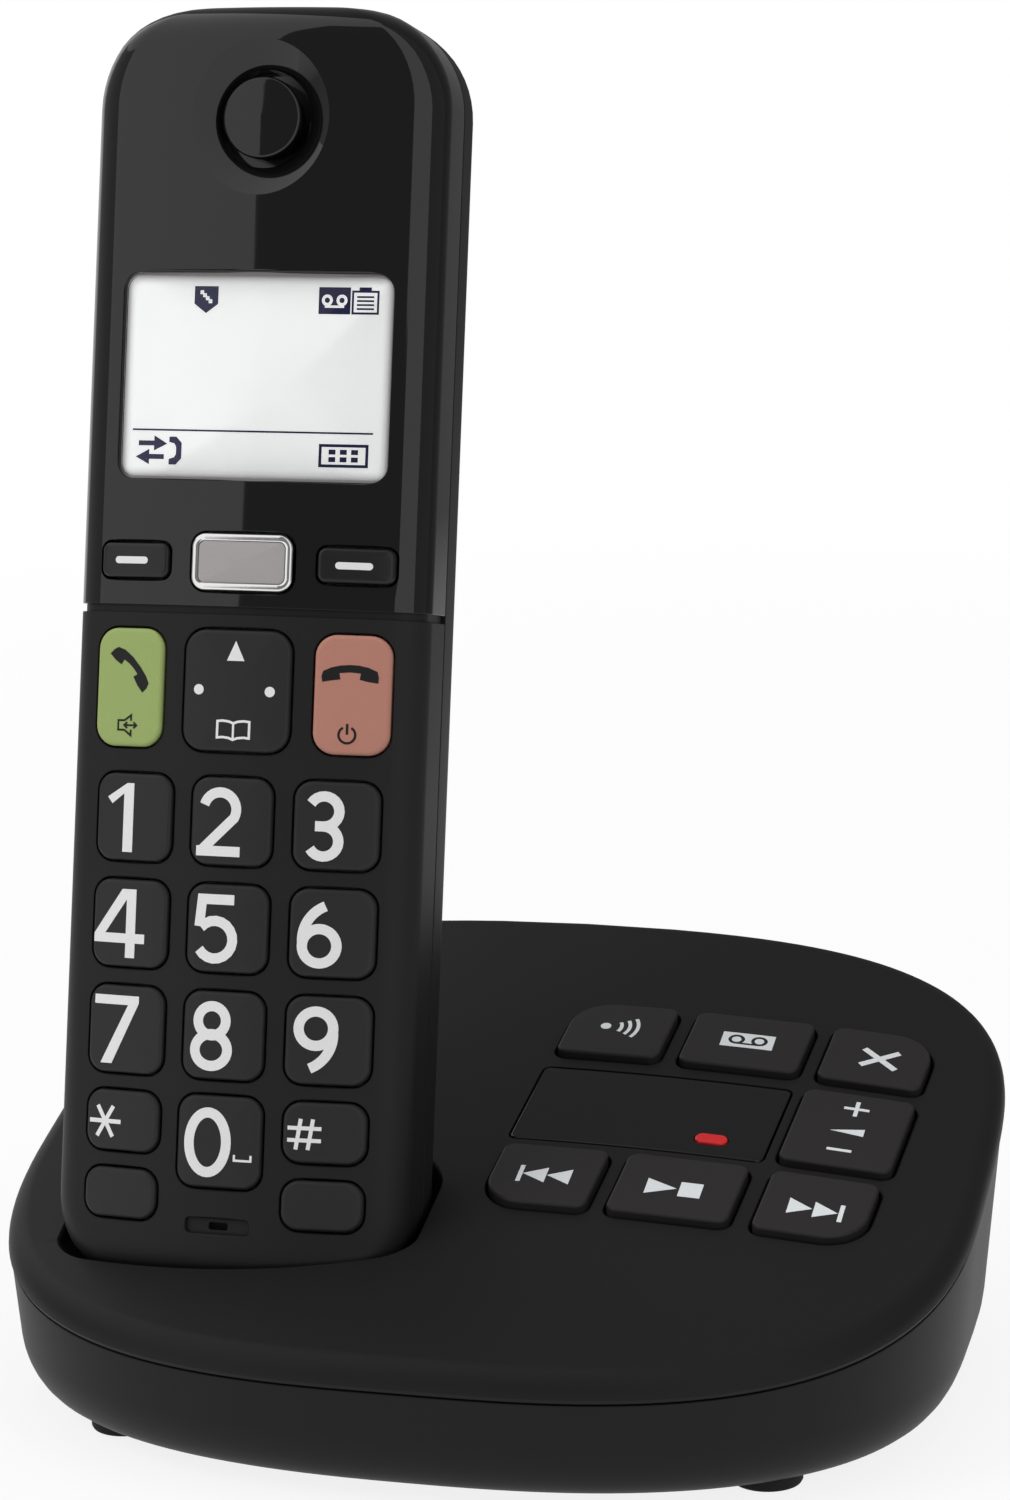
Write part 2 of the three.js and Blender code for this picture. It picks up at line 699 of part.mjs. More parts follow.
function backShell() {
  const underDoor = handsetBody(doorWall + gap);
  const doorway = prism(roundedRect(doorWidth + 2 * gap, doorLength + 2 * gap, doorCorner, 0, doorMiddle),
    -handsetThickness - overrun, -handsetThickness / 2);
  const ledgeTop = handsetThickness - doorWall - gap;
  const rest = prism(roundedRect(doorWidth + 2 * ledge, doorLength + 2 * ledge, doorCorner, 0, doorMiddle),
    -ledgeTop, -ledgeTop + ledgeThickness + gap).intersect(underDoor);
  const tray = block([-bayHalfWidth - bayWall, bayHalfWidth + bayWall],
    [bayY - bayHalfLength - bayWall, bayY + bayHalfLength + bayWall], [-ledgeTop, -bayDepth + bayWall])
    .intersect(underDoor);
  const bay = block([-bayHalfWidth, bayHalfWidth], [bayY - bayHalfLength, bayY + bayHalfLength],
    [-handsetThickness - overrun, -bayDepth]);
  const shell = skin.intersect(backHalf).subtract(doorway.subtract(underDoor));
  const posts = [-1, 1].map((at) => bar(handsetPostBack, -handsetThickness + shellWall / 2,
    -partingDepth - gap / 2, at * handsetScrewX, handsetScrewY));
  const bores = [-1, 1].map((at) => bar(handsetScrewRadius + gap, -handsetHeadDepth - overrun, 0,
    at * handsetScrewX, handsetScrewY));
  const sinks = [-1, 1].map((at) => bar(handsetScrewHead + gap, -handsetThickness - overrun,
    -handsetHeadDepth + gap, at * handsetScrewX, handsetScrewY));
  const recesses = [-1, 1].map((at) => block(
    [at * padX - padWidth / 2 - gap, at * padX + padWidth / 2 + gap],
    [handsetBottom - overrun, handsetBottom + padInset + padThickness + gap],
    [-padDepth - padSize / 2 - gap, -padDepth + padSize / 2 + gap]));
  return cut(sum([shell, rest, tray, ...posts]), [bay, ...bores, ...sinks, ...recesses]);
}

function batteryDoor() {
  const outline = prism(roundedRect(doorWidth, doorLength, doorCorner, 0, doorMiddle),
    -handsetThickness - overrun, -handsetThickness / 2);
  return outside.subtract(handsetBody(doorWall)).intersect(outline);
}

function handsetBoard() {
  const top = earpieceY - handsetBoardEarSpace;
  const outline = roundedRect(handsetWidth - 2 * handsetBoardSideSpace, top - handsetBoardBottom,
    handsetBoardCorner, 0, (top + handsetBoardBottom) / 2);
  const holes = [-1, 1].map((at) => bar(handsetPost + gap, -boardDepth - overrun, 0,
    at * handsetScrewX, handsetScrewY));
  return cut(prism(outline, -boardDepth - boardThickness, -boardDepth), holes);
}

// The mat lies clear of the pressed keys: the flat underside of the widest one reaches deeper at its middle
function keypadMat() {
  const matTop = windowY - windowHeight / 2 - matWindowSpace;
  const flatUnderside = faceSag(messageWidth / 2 + keyLip);
  const depth = shellWall + gap + keyLipThickness + keyTravel + flatUnderside + gap;
  const outline = roundedRect(handsetWidth - 2 * matSideSpace, matTop - matBottom, matCorner, 0,
    (matTop + matBottom) / 2);
  const notch = block([-matNotchWidth / 2, matNotchWidth / 2],
    [matBottom - overrun, matBottom + matNotchHeight], [-boardDepth, 0]);
  return prism(outline, -boardDepth + gap, 0).intersect(handsetBody(depth)).subtract(notch);
}

const inWindow = () => roundedRect(windowWidth - 2 * gap, windowHeight - 2 * gap, windowRadius - gap, 0,
  windowY);

function displayLens() {
  return prism(inWindow(), -faceSag(windowWidth / 2) - lensEdge, overrun)
    .intersect(handsetBody(lensRecess));
}

function displayModule() {
  const frame = roundedRect(windowWidth + 2 * displayFrameSide, windowHeight + 2 * displayFrameEnd,
    windowRadius, 0, windowY);
  const top = -faceSag(windowWidth / 2) - lensEdge - gap;
  const frameTop = top - displayGlassHeight;
  return prism(inWindow(), frameTop - gap, top).add(prism(frame, -boardDepth + gap, frameTop));
}

function earpieceDisc() {
  const seat = earBossDepth + gap;
  const [outShare, dropShare] = earDiscShoulderShares;
  return turned([[0, -seat - earFlange], [earFlangeRadius, -seat - earFlange], [earFlangeRadius, -seat],
    [earDiscRadius, -seat], [earDiscRadius, -earDiscTop - earDiscDome],
    [earDiscRadius * outShare, -earDiscTop - earDiscDome * dropShare], [0, -earDiscTop]],
  0, earpieceY, turnedSteps);
}

function receiver() {
  const front = earBossDepth + gap + earFlange + gap;
  return turned([[0, -front - receiverThickness], [receiverRadius / 2, -front - receiverThickness],
    [receiverRadius, -front - receiverThickness / 2], [receiverRadius, -front], [0, -front]], 0, earpieceY);
}

function microphone() {
  return bar(micRadius, -boardDepth + gap, -shellWall - gap, 0, micY);
}

function cell(at) {
  const body = cellLength - cellNub;
  const direction = at < 0 ? 1 : -1;
  const geometry = turned([[0, 0], [cellRadius, 0], [cellRadius, body], [cellNubRadius, body],
    [cellNubRadius, cellLength], [0, cellLength]]);
  return geometry.rotate([direction > 0 ? -90 : 90, 0, 0])
    .translate([(at * cellSpacing) / 2, bayY - (direction * cellLength) / 2, -cellDepth]);
}

function chargePad(at) {
  return block([at * padX - padWidth / 2, at * padX + padWidth / 2],
    [handsetBottom + padInset, handsetBottom + padInset + padThickness],
    [-padDepth - padSize / 2, -padDepth + padSize / 2]);
}

function screw(radius, head, headHeight, length) {
  return [[0, -headHeight], [head, -headHeight], [head, 0], [radius, 0], [radius, length - radius],
    [radius * leastRoundShare, length], [0, length]];
}

function handsetScrew(at) {
  const profile = screw(handsetScrewRadius, handsetScrewHead, handsetHeadHeight, handsetScrewLength);
  return turned(profile, at * handsetScrewX, handsetScrewY).translate([0, 0, -handsetHeadDepth]);
}

addPiece(handset, 'handset_lower_front', lowerFront(), finishes.mattBlack);
addPiece(handset, 'handset_upper_front', upperFront(), finishes.glossBlack);
addPiece(handset, 'handset_back_shell', backShell(), finishes.mattBlack);
addPiece(handset, 'battery_door', batteryDoor(), finishes.mattBlack);
addPiece(handset, 'handset_board', handsetBoard(), finishes.board);
addPiece(handset, 'keypad_mat', keypadMat(), finishes.mat);
addPiece(handset, 'display_lens', displayLens(), finishes.lens);
addPiece(handset, 'display_module', displayModule(), finishes.display);
addPiece(handset, 'earpiece_disc', earpieceDisc(), finishes.glossBlack);
addPiece(handset, 'receiver', receiver(), finishes.speaker);
addPiece(handset, 'microphone', microphone(), finishes.rubber);
for (const key of [...lowerKeys, ...upperKeys]) {
  addPiece(handset, key.name, keyCap(key, handsetKeySeat), finishes[key.finish ?? 'keyBlack']);
}
addPiece(handset, navKey.name, keyCap(navKey, navSeat), finishes.keyBlack);
for (const [at, word] of [[-1, 'left'], [1, 'right']]) {
  addPiece(handset, `battery_cell_${word}`, cell(at), finishes.cell);
  addPiece(handset, `charge_pad_${word}`, chargePad(at), finishes.contact);
  addPiece(handset, `handset_screw_${word}`, handsetScrew(at), finishes.steel);
}

// Base pieces that follow the cradle are built in the handset's frame and turned into the base's
handset.updateMatrix();
const cradleToBase = handset.matrix.clone();
const inBase = (solid) => solid.transform(cradleToBase.toArray());

// Control panel: keys, display and light in a frame that touches the deck at the panel's middle
const panel = new THREE.Group();
panel.position.set(panelX, panelY, topSurface(panelX, panelY));
panel.rotation.set(THREE.MathUtils.degToRad(topSlopeDeg), Math.atan(panelX / domeRadius), 0);
panel.updateMatrix();
model.add(panel);
const fromPanel = (solid) => solid.transform(panel.matrix.toArray());

const panelKey = (name, x, y, width, height, corners) => ({ name, x, y, width, height, corners });
const [small, large] = [baseKeySmall, baseKeyLarge];
const panelKeys = [
  panelKey('paging_key', leftColumn + rowShift, backRow, leftKeyWidth, baseKeyHeight,
    [small, large, small, small]),
  panelKey('answer_key', middleColumn + rowShift, backRow, middleKeyWidth, baseKeyHeight, alike(small)),
  panelKey('erase_key', rightColumn + rowShift, backRow, rightKeyWidth, baseKeyHeight,
    [large, small, small, small]),
  panelKey('skip_back_key', leftColumn - rowShift, frontRow, leftKeyWidth, baseKeyHeight,
    [small, small, large, small]),
  panelKey('play_stop_key', middleColumn - rowShift, frontRow, middleKeyWidth, baseKeyHeight, alike(small)),
  panelKey('skip_forward_key', rightColumn - rowShift, frontRow, rightKeyWidth, baseKeyHeight,
    [small, small, small, large]),
];
const volumeKey = panelKey('volume_key', volumeX, volumeY, volumeWidth, volumeHeight, alike(small));
const displayPlate = panelKey('base_display', displayX, displayY, displayWidth, displayHeight,
  alike(displayRadius));
const light = panelKey('message_light', lightX, lightY, lightWidth, lightHeight, alike(lightHeight / 2));
const deckSag = (x) => (x * x) / (2 * domeRadius);
const panelSeat = {
  rise: baseKeyRise, edge: baseKeyEdge, lip: baseKeyLip, seat: baseWall + gap,
  lipThickness: keyLipThickness, sag: deckSag,
};
const volumeSeat = { ...panelSeat, seat: baseWall + gap + navDrop, lipThickness: navLipThickness };
const displaySeat = {
  ...panelSeat,
  rise: 0,
  edge: gap,
  lip: 0,
  lipThickness: baseBoardDepth - baseWall - 2 * gap - deckSag(displayX - displayWidth / 2),
};

const screwPlaces = [
  [frontScrewX, frontScrewInset - baseDepth / 2], [backScrewX, baseDepth / 2 - backScrewInset],
];
const sockets = [
  { name: 'line_socket', x: lineSocketX, width: lineSocketWidth, mouth: lineMouthWidth },
  { name: 'power_socket', x: powerSocketX, width: powerSocketWidth, mouth: powerMouthWidth },
];
const footX = baseWidth / 2 - footSideInset;
const footFrontY = footFrontInset - baseDepth / 2;
const footBackY = baseDepth / 2 - footBackInset;
const footPlaces = [
  ['foot_front_left', -footX, footFrontY], ['foot_front_right', footX, footFrontY],
  ['foot_back_left', -footX, footBackY], ['foot_back_right', footX, footBackY],
];

function topCover() {
  const cup = inBase(cradleBody(cradleWall)).intersect(deckReach);
  const sleeves = [-1, 1].map((at) => inBase(block(
    [at * padX - contactWidth / 2 - sleeveWall, at * padX + contactWidth / 2 + sleeveWall],
    [handsetBottom - gap - cradleWall - sleeveLength, handsetBottom - gap - cradleWall / 2],
    [-padDepth - contactSize / 2 - sleeveWall, -padDepth + contactSize / 2 + sleeveWall])));
  const slots = [-1, 1].map((at) => inBase(block(
    [at * padX - contactWidth / 2 - gap, at * padX + contactWidth / 2 + gap],
    [handsetBottom - cradleWall - sleeveLength - overrun, handsetBottom],
    [-padDepth - contactSize / 2 - gap, -padDepth + contactSize / 2 + gap])));
  const well = inBase(cradleBody(0));
  const panelHole = (key, clearance) => fromPanel(keyHole(key, clearance, -baseWall - overrun, overrun));
  const keyHoles = [...panelKeys, volumeKey].map((key) => panelHole(key, baseKeyGap));
  const posts = screwPlaces.map(([x, y]) => bar(basePostRadius, basePostTop + gap,
    topSurface(x, y) - baseWall / 2, x, y));
  const bores = screwPlaces.map(([x, y]) => bar(baseScrewRadius + gap, 0,
    footHeight + baseHeadRecess + baseScrewLength + gap, x, y));
  const cover = sum([coverOutside.subtract(coverInside), cup, ...sleeves, ...posts]);
  return cut(cover, [well, ...slots, ...keyHoles, panelHole(displayPlate, gap), ...bores]);
}

function bottomShell() {
  const shell = lowerSolid(0, footHeight, 0).subtract(lowerSolid(baseWall, floorLevel, overrun));
  const inFloor = footHeight + baseFloor / 2;
  const posts = screwPlaces.map(([x, y]) => bar(basePostRadius, inFloor, basePostTop, x, y));
  const ring = bar(speakerRadius + gap + speakerRing, inFloor, floorLevel + speakerRingHeight,
    speakerX, speakerY, turnedSteps);
  const ringInside = bar(speakerRadius + gap, floorLevel, floorLevel + speakerRingHeight + overrun,
    speakerX, speakerY, turnedSteps);
  const shelves = sockets.map(({ x, width }) => block([x - width / 2, x + width / 2],
    [socketFaceY - socketLength, socketFaceY - baseWall], [inFloor, socketBottom - gap]));
  const mouths = sockets.map(({ x, width }) => block(
    [x - width / 2 - gap, x + width / 2 + gap], [socketFaceY - socketLength - gap, baseDepth],
    [socketBottom - gap, socketBottom + socketHeight + gap]));
  const bores = screwPlaces.map(([x, y]) => bar(baseScrewRadius + gap, 0, basePostTop + overrun, x, y));
  const sinks = screwPlaces.map(([x, y]) => bar(baseScrewHead + gap, 0,
    footHeight + baseHeadRecess + gap, x, y));
  const seats = footPlaces.map(([, x, y]) => bar(footRadius + gap, 0,
    footHeight + footRecess + gap, x, y, turnedSteps));
  const slots = Array.from({ length: grilleSlots }, (_, i) => {
    const x = speakerX + (i - (grilleSlots - 1) / 2) * grillePitch;
    return prism(roundedRect(grilleSlotWidth, grilleSlotLength, grilleSlotWidth / 2, x, speakerY), 0,
      floorLevel + gap);
  });
  const tub = sum([shell, ...posts, ring, ...shelves]);
  return cut(tub, [ringInside, ...mouths, ...bores, ...sinks, ...seats, ...slots]);
}

function socket({ x, width, mouth }) {
  const body = block([x - width / 2, x + width / 2], [socketFaceY - socketLength, socketFaceY],
    [socketBottom, socketBottom + socketHeight]);
  const middle = socketBottom + socketHeight / 2;
  const opening = block(
    [x - mouth / 2, x + mouth / 2], [socketFaceY - socketMouthDepth, socketFaceY + overrun],
    [middle - socketMouthHeight / 2, middle + socketMouthHeight / 2]);
  return body.subtract(opening);
}

function chargeContact(at) {
  const top = handsetBottom + padInset - gap;
  const radius = contactSize / 2;
  const profile = new THREE.Shape();
  profile.moveTo(-radius, top - contactLength);
  profile.lineTo(radius, top - contactLength);
  profile.lineTo(radius, top - radius);
  profile.absarc(0, top - radius, radius, 0, Math.PI, false);
  const geometry = new THREE.ExtrudeGeometry(profile,
    { depth: contactWidth, bevelEnabled: false, curveSegments: 2 * cornerSteps });
  geometry.translate(0, 0, -contactWidth / 2).rotateY(Math.PI / 2).translate(at * padX, 0, -padDepth);
  return solidOf(geometry);
}

function speaker() {
  const low = floorLevel + gap;
  return turned([[0, low], [speakerRadius, low], [speakerRadius, low + speakerRimHeight],
    [speakerMagnetRadius, low + speakerHeight - speakerRimHeight],
    [speakerMagnetRadius, low + speakerHeight], [0, low + speakerHeight]],
  speakerX, speakerY, turnedSteps);
}

function baseScrew([x, y]) {
  const profile = screw(baseScrewRadius, baseScrewHead, baseHeadHeight, baseScrewLength);
  return turned(profile, x, y).translate([0, 0, footHeight + baseHeadRecess]);
}

const base = new THREE.Group();
model.add(base);
addPiece(base, 'base_top_cover', topCover(), finishes.baseBlack);
addPiece(base, 'base_bottom_shell', bottomShell(), finishes.baseBlack);
addPiece(base, 'speaker', speaker(), finishes.speaker);
for (const item of sockets) addPiece(base, item.name, socket(item), finishes.keyBlack);
for (const [name, x, y] of footPlaces) {
  addPiece(base, name, bar(footRadius, 0, footHeight + footRecess, x, y, turnedSteps), finishes.rubber);
}
addPiece(base, 'base_screw_front', baseScrew(screwPlaces[0]), finishes.steel);
addPiece(base, 'base_screw_back', baseScrew(screwPlaces[1]), finishes.steel);

const cradle = new THREE.Group();
cradle.applyMatrix4(cradleToBase);
model.add(cradle);
addPiece(cradle, 'charge_contact_left', chargeContact(-1), finishes.contact);
addPiece(cradle, 'charge_contact_right', chargeContact(1), finishes.contact);

for (const key of panelKeys) addPiece(panel, key.name, keyCap(key, panelSeat), finishes.keyGrey);
addPiece(panel, volumeKey.name, keyCap(volumeKey, volumeSeat), finishes.keyGrey);
addPiece(panel, displayPlate.name, keyCap(displayPlate, displaySeat)
  .subtract(keyHole(light, gap, -baseBoardDepth, overrun)), finishes.glossBlack);
addPiece(panel, light.name, keyHole(light, 0, -baseBoardDepth + gap, -deckSag(lightX)), finishes.light);
addPiece(panel, 'base_board', block(
  [baseBoardLeft, baseWidth / 2 - panelX - baseBoardSideSpace],
  [baseBoardFront, baseDepth / 2 - panelY - baseBoardBackSpace],
  [-baseBoardDepth - baseBoardThickness, -baseBoardDepth]), finishes.board);

export default model;
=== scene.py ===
"""Answering machine with a cordless handset in its cradle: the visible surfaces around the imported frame.

Shapes are worked out in millimetres, in three frames: the base's own, the handset's face and the control
panel. Each finished piece is brought into the base's frame, in metres, and rides on its body.
"""

from __future__ import annotations

import logging
import math
from dataclasses import dataclass, field
from enum import Enum
from typing import Callable, Iterable, Sequence, Union

import bmesh
import bpy
from mathutils import Matrix, Vector

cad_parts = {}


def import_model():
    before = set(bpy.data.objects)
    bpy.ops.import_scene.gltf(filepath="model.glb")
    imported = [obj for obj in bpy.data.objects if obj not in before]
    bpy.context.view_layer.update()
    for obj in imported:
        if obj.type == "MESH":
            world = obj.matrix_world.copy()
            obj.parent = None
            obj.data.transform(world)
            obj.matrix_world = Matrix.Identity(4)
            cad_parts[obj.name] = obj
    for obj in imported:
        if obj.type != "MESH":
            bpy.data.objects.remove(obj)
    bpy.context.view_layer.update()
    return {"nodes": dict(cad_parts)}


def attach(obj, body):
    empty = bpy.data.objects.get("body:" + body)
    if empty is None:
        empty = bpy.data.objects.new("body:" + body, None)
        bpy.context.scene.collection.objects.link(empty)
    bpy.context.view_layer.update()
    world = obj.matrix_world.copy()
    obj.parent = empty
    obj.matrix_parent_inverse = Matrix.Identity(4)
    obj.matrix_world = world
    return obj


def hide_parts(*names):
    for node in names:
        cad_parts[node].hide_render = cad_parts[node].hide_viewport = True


LOG = logging.getLogger("answering_machine")

MM = 0.001
WHITE = (1.0, 1.0, 1.0, 1.0)

# The Mix node's sockets for colours, which share their names with those for numbers
MIX_FIRST, MIX_SECOND, MIX_RESULT = 6, 7, 2

# In millimetres: where points merge, the least corner, how far tools stand clear, how thick ink lies
MERGE = 0.001
LEAST_RADIUS = 0.05
TOOL_REACH = 3.0
INK = 0.03

# A softened rim in section, as shares of its width: outwards, and up from the surface
RIM = ((0.0, -1.3), (0.12, -0.6), (0.45, -0.15), (1.15, 0.4))

Colour = tuple[float, float, float]
Flat = tuple[float, float]
Height = Callable[[float, float], float]
Operand = Union["Wire", float]
Piece = bpy.types.Object


class Cut(Enum):
    """What a solid tool does to the piece it meets."""

    AWAY = "DIFFERENCE"
    JOIN = "UNION"
    KEEP = "INTERSECT"


class Side(Enum):
    """Which way a raised piece stands from its surface."""

    OUT = 1
    BACK = -1


# Shader sockets as numbers


class Wire:
    """A shader socket that takes part in sums as a number does."""

    def __init__(self, sheet: NodeSheet, socket: bpy.types.NodeSocket) -> None:
        """Keeps the socket and the sheet that its sums are added to."""
        self.sheet = sheet
        self.socket = socket

    def _sum(self, operation: str, left: Operand, right: Operand) -> Wire:
        """Adds a Math node for one operation on two operands."""
        return self.sheet.node("ShaderNodeMath", {"operation": operation}, {0: left, 1: right})

    def __add__(self, other: Operand) -> Wire:
        """Sum of the two."""
        return self._sum("ADD", self, other)

    __radd__ = __add__

    def __sub__(self, other: Operand) -> Wire:
        """This less the other."""
        return self._sum("SUBTRACT", self, other)

    def __rsub__(self, other: Operand) -> Wire:
        """The other less this."""
        return self._sum("SUBTRACT", other, self)

    def __mul__(self, other: Operand) -> Wire:
        """Product of the two."""
        return self._sum("MULTIPLY", self, other)

    __rmul__ = __mul__

    def __pow__(self, other: Operand) -> Wire:
        """This to a power."""
        return self._sum("POWER", self, other)

    def __abs__(self) -> Wire:
        """This without its sign."""
        return self.sheet.node("ShaderNodeMath", {"operation": "ABSOLUTE"}, {0: self})

    def larger(self, other: Operand) -> Wire:
        """The larger of the two."""
        return self._sum("MAXIMUM", self, other)

    def spread(self, low: float, high: float, start: float = 0.0, end: float = 1.0) -> Wire:
        """This, mapped from low..high to start..end and held there."""
        sockets = {"Value": self, "From Min": low, "From Max": high, "To Min": start, "To Max": end}
        return self.sheet.node("ShaderNodeMapRange", {"clamp": True}, sockets)


class NodeSheet:
    """The node tree of one material or world."""

    def __init__(self, owner: bpy.types.Material | bpy.types.World) -> None:
        """Takes the owner and clears its tree."""
        owner.use_nodes = True
        self.owner = owner
        self.tree = owner.node_tree
        self.tree.nodes.clear()

    def node(self, kind: str, settings: dict[str, object] | None = None,
             sockets: dict[str | int, object] | None = None, out: str | int = 0) -> Wire:
        """Adds a node.

        Args:
            kind: The node's type.
            settings: Properties of the node, which are set first.
            sockets: Values or links of its inputs, by name or number.
            out: The output that is wanted.

        Returns:
            The chosen output.
        """
        made = self.tree.nodes.new(kind)
        for key, value in (settings or {}).items():
            setattr(made, key, value)
        for key, value in (sockets or {}).items():
            if isinstance(value, Wire):
                self.tree.links.new(value.socket, made.inputs[key])
            else:
                made.inputs[key].default_value = value
        return Wire(self, made.outputs[out])

    def place(self) -> Wire:
        """The Object coordinate in metres."""
        return self.node("ShaderNodeTexCoord", out="Object")

    def noise(self, size_mm: float, detail: float = 2.0) -> Wire:
        """Smooth noise from 0 to 1 whose blotches are about size_mm wide."""
        sockets = {"Vector": self.place(), "Scale": 1.0 / (size_mm * MM), "Detail": detail}
        return self.node("ShaderNodeTexNoise", None, sockets)

    def mix(self, share: Operand, first: Sequence[float], second: Sequence[float]) -> Wire:
        """Colour between two colours, by a share of the second."""
        sockets = {0: share, MIX_FIRST: (*first, 1.0), MIX_SECOND: (*second, 1.0)}
        return self.node("ShaderNodeMix", {"data_type": "RGBA"}, sockets, out=MIX_RESULT)

    def blend(self, share: Operand, first: Wire, second: Wire) -> Wire:
        """Shader between two shaders, by a share of the second."""
        return self.node("ShaderNodeMixShader", None, {0: share, 1: first, 2: second})

    def bump(self, height: Wire, depth_mm: float) -> Wire:
        """Normal of a surface that a height from 0 to 1 raises by depth_mm."""
        sockets = {"Height": height, "Distance": depth_mm * MM, "Strength": 1.0}
        return self.node("ShaderNodeBump", None, sockets)

    def seen(self) -> Wire:
        """One for rays from the camera, from gloss and through clear pieces, and nothing for the rest."""
        kinds = ("Camera", "Glossy", "Transmission")
        camera, gloss, clear = (self.node("ShaderNodeLightPath", out=f"Is {kind} Ray") for kind in kinds)
        return camera.larger(gloss).larger(clear)

    def finish(self, shader: Wire,
               output: str = "ShaderNodeOutputMaterial") -> bpy.types.Material | bpy.types.World:
        """Joins the shader to the output and gives the owner."""
        end = self.tree.nodes.new(output)
        self.tree.links.new(shader.socket, end.inputs["Surface"])
        return self.owner


def material_sheet(name: str) -> NodeSheet:
    """The sheet of a new material."""
    return NodeSheet(bpy.data.materials.new(name))


@dataclass(frozen=True)
class Plastic:
    """Moulded plastic: colour, gloss, fine grain and a faint unevenness of the gloss."""

    name: str
    colour: Colour
    roughness: float
    specular: float = 0.5
    grain_mm: float = 0.0
    grain_size_mm: float = 0.22
    uneven: float = 0.04
    uneven_size_mm: float = 14.0
    coat: float = 0.0
    coat_roughness: float = 0.03
    uneven_detail: float = 3.0
    grain_shade: float = 0.86

    def material(self) -> bpy.types.Material:
        """Builds the material."""
        sheet = material_sheet(self.name)
        blotch = sheet.noise(self.uneven_size_mm, self.uneven_detail)
        speck = sheet.noise(self.grain_size_mm)
        darker = [channel * self.grain_shade for channel in self.colour]
        sockets: dict[str | int, object] = {
            "Base Color": sheet.mix(speck, darker, self.colour),
            "Roughness": blotch * self.uneven + (self.roughness - self.uneven / 2),
            "Specular IOR Level": self.specular,
            "Coat Weight": self.coat,
            "Coat Roughness": self.coat_roughness,
        }
        if self.grain_mm:
            sockets["Normal"] = sheet.bump(speck, self.grain_mm)
        return sheet.finish(sheet.node("ShaderNodeBsdfPrincipled", None, sockets))


@dataclass(frozen=True)
class Metal:
    """Bare or plated metal with fine rubbing marks."""

    name: str
    colour: Colour
    roughness: float
    marks_mm: float = 0.3
    marks_detail: float = 4.0
    marks_shade: float = 0.93
    marks_roughness: float = 0.08

    def material(self) -> bpy.types.Material:
        """Builds the material."""
        sheet = material_sheet(self.name)
        rub = sheet.noise(self.marks_mm, self.marks_detail)
        darker = [channel * self.marks_shade for channel in self.colour]
        sockets = {
            "Base Color": sheet.mix(rub, darker, self.colour),
            "Metallic": 1.0,
            "Roughness": rub * self.marks_roughness + self.roughness,
        }
        return sheet.finish(sheet.node("ShaderNodeBsdfPrincipled", None, sockets))


@dataclass(frozen=True)
class ClearLens:
    """Clear hard plastic: mostly see-through, with a gloss that grows towards the edge of sight."""

    name: str = "clear_lens"
    index: float = 1.3
    roughness: float = 0.02

    def material(self) -> bpy.types.Material:
        """Builds the material."""
        sheet = material_sheet(self.name)
        gloss = sheet.node("ShaderNodeBsdfGlossy", None, {"Color": WHITE, "Roughness": self.roughness})
        clear = sheet.node("ShaderNodeBsdfTransparent", None, {"Color": WHITE})
        share = sheet.node("ShaderNodeFresnel", None, {"IOR": self.index})
        return sheet.finish(sheet.blend(share, clear, gloss))


@dataclass(frozen=True)
class PaintedLightPanel:
    """A display panel with a painted glow that brightens it and painted shade towards its edges, under the
    window's rim.
    """

    name: str
    colour: Colour
    painted_shade_colour: Colour
    middle: tuple[float, float, float]
    up: tuple[float, float, float]
    half_width: float
    half_height: float
    edge: float
    glow: float
    fall: float = 2.0
    roughness: float = 0.4
    uneven: float = 0.05
    uneven_size_mm: float = 3.0

    def held(self, place: Wire, half: float) -> Wire:
        """One over the panel's middle, and nothing from half its size on."""
        return 1.0 - abs(place).spread(half - self.edge, half) ** self.fall

    def material(self) -> bpy.types.Material:
        """Builds the material."""
        sheet = material_sheet(self.name)
        offset = sheet.node("ShaderNodeVectorMath", {"operation": "SUBTRACT"},
                            {0: sheet.place(), 1: self.middle})
        height = sheet.node("ShaderNodeVectorMath", {"operation": "DOT_PRODUCT"}, {0: offset, 1: self.up},
                            out="Value")
        across = sheet.node("ShaderNodeSeparateXYZ", None, {0: offset}, out=0)
        # Painted shade: over a band at the panel's edges the colour fades to the dark shade colour, standing
        # in for the shadow of the window's rim
        share = self.held(across, self.half_width) * self.held(height, self.half_height)
        colour = sheet.mix(share, self.painted_shade_colour, self.colour)
        sockets = {
            "Base Color": colour,
            "Roughness": sheet.noise(self.uneven_size_mm) * self.uneven + self.roughness,
            # Painted light: the panel glows in its own colour, shaded edges included, so that it shows
            # bright, though it is no lamp
            "Emission Color": colour,
            "Emission Strength": self.glow,
        }
        return sheet.finish(sheet.node("ShaderNodeBsdfPrincipled", None, sockets))


Finish = Union[Plastic, Metal, ClearLens, PaintedLightPanel]


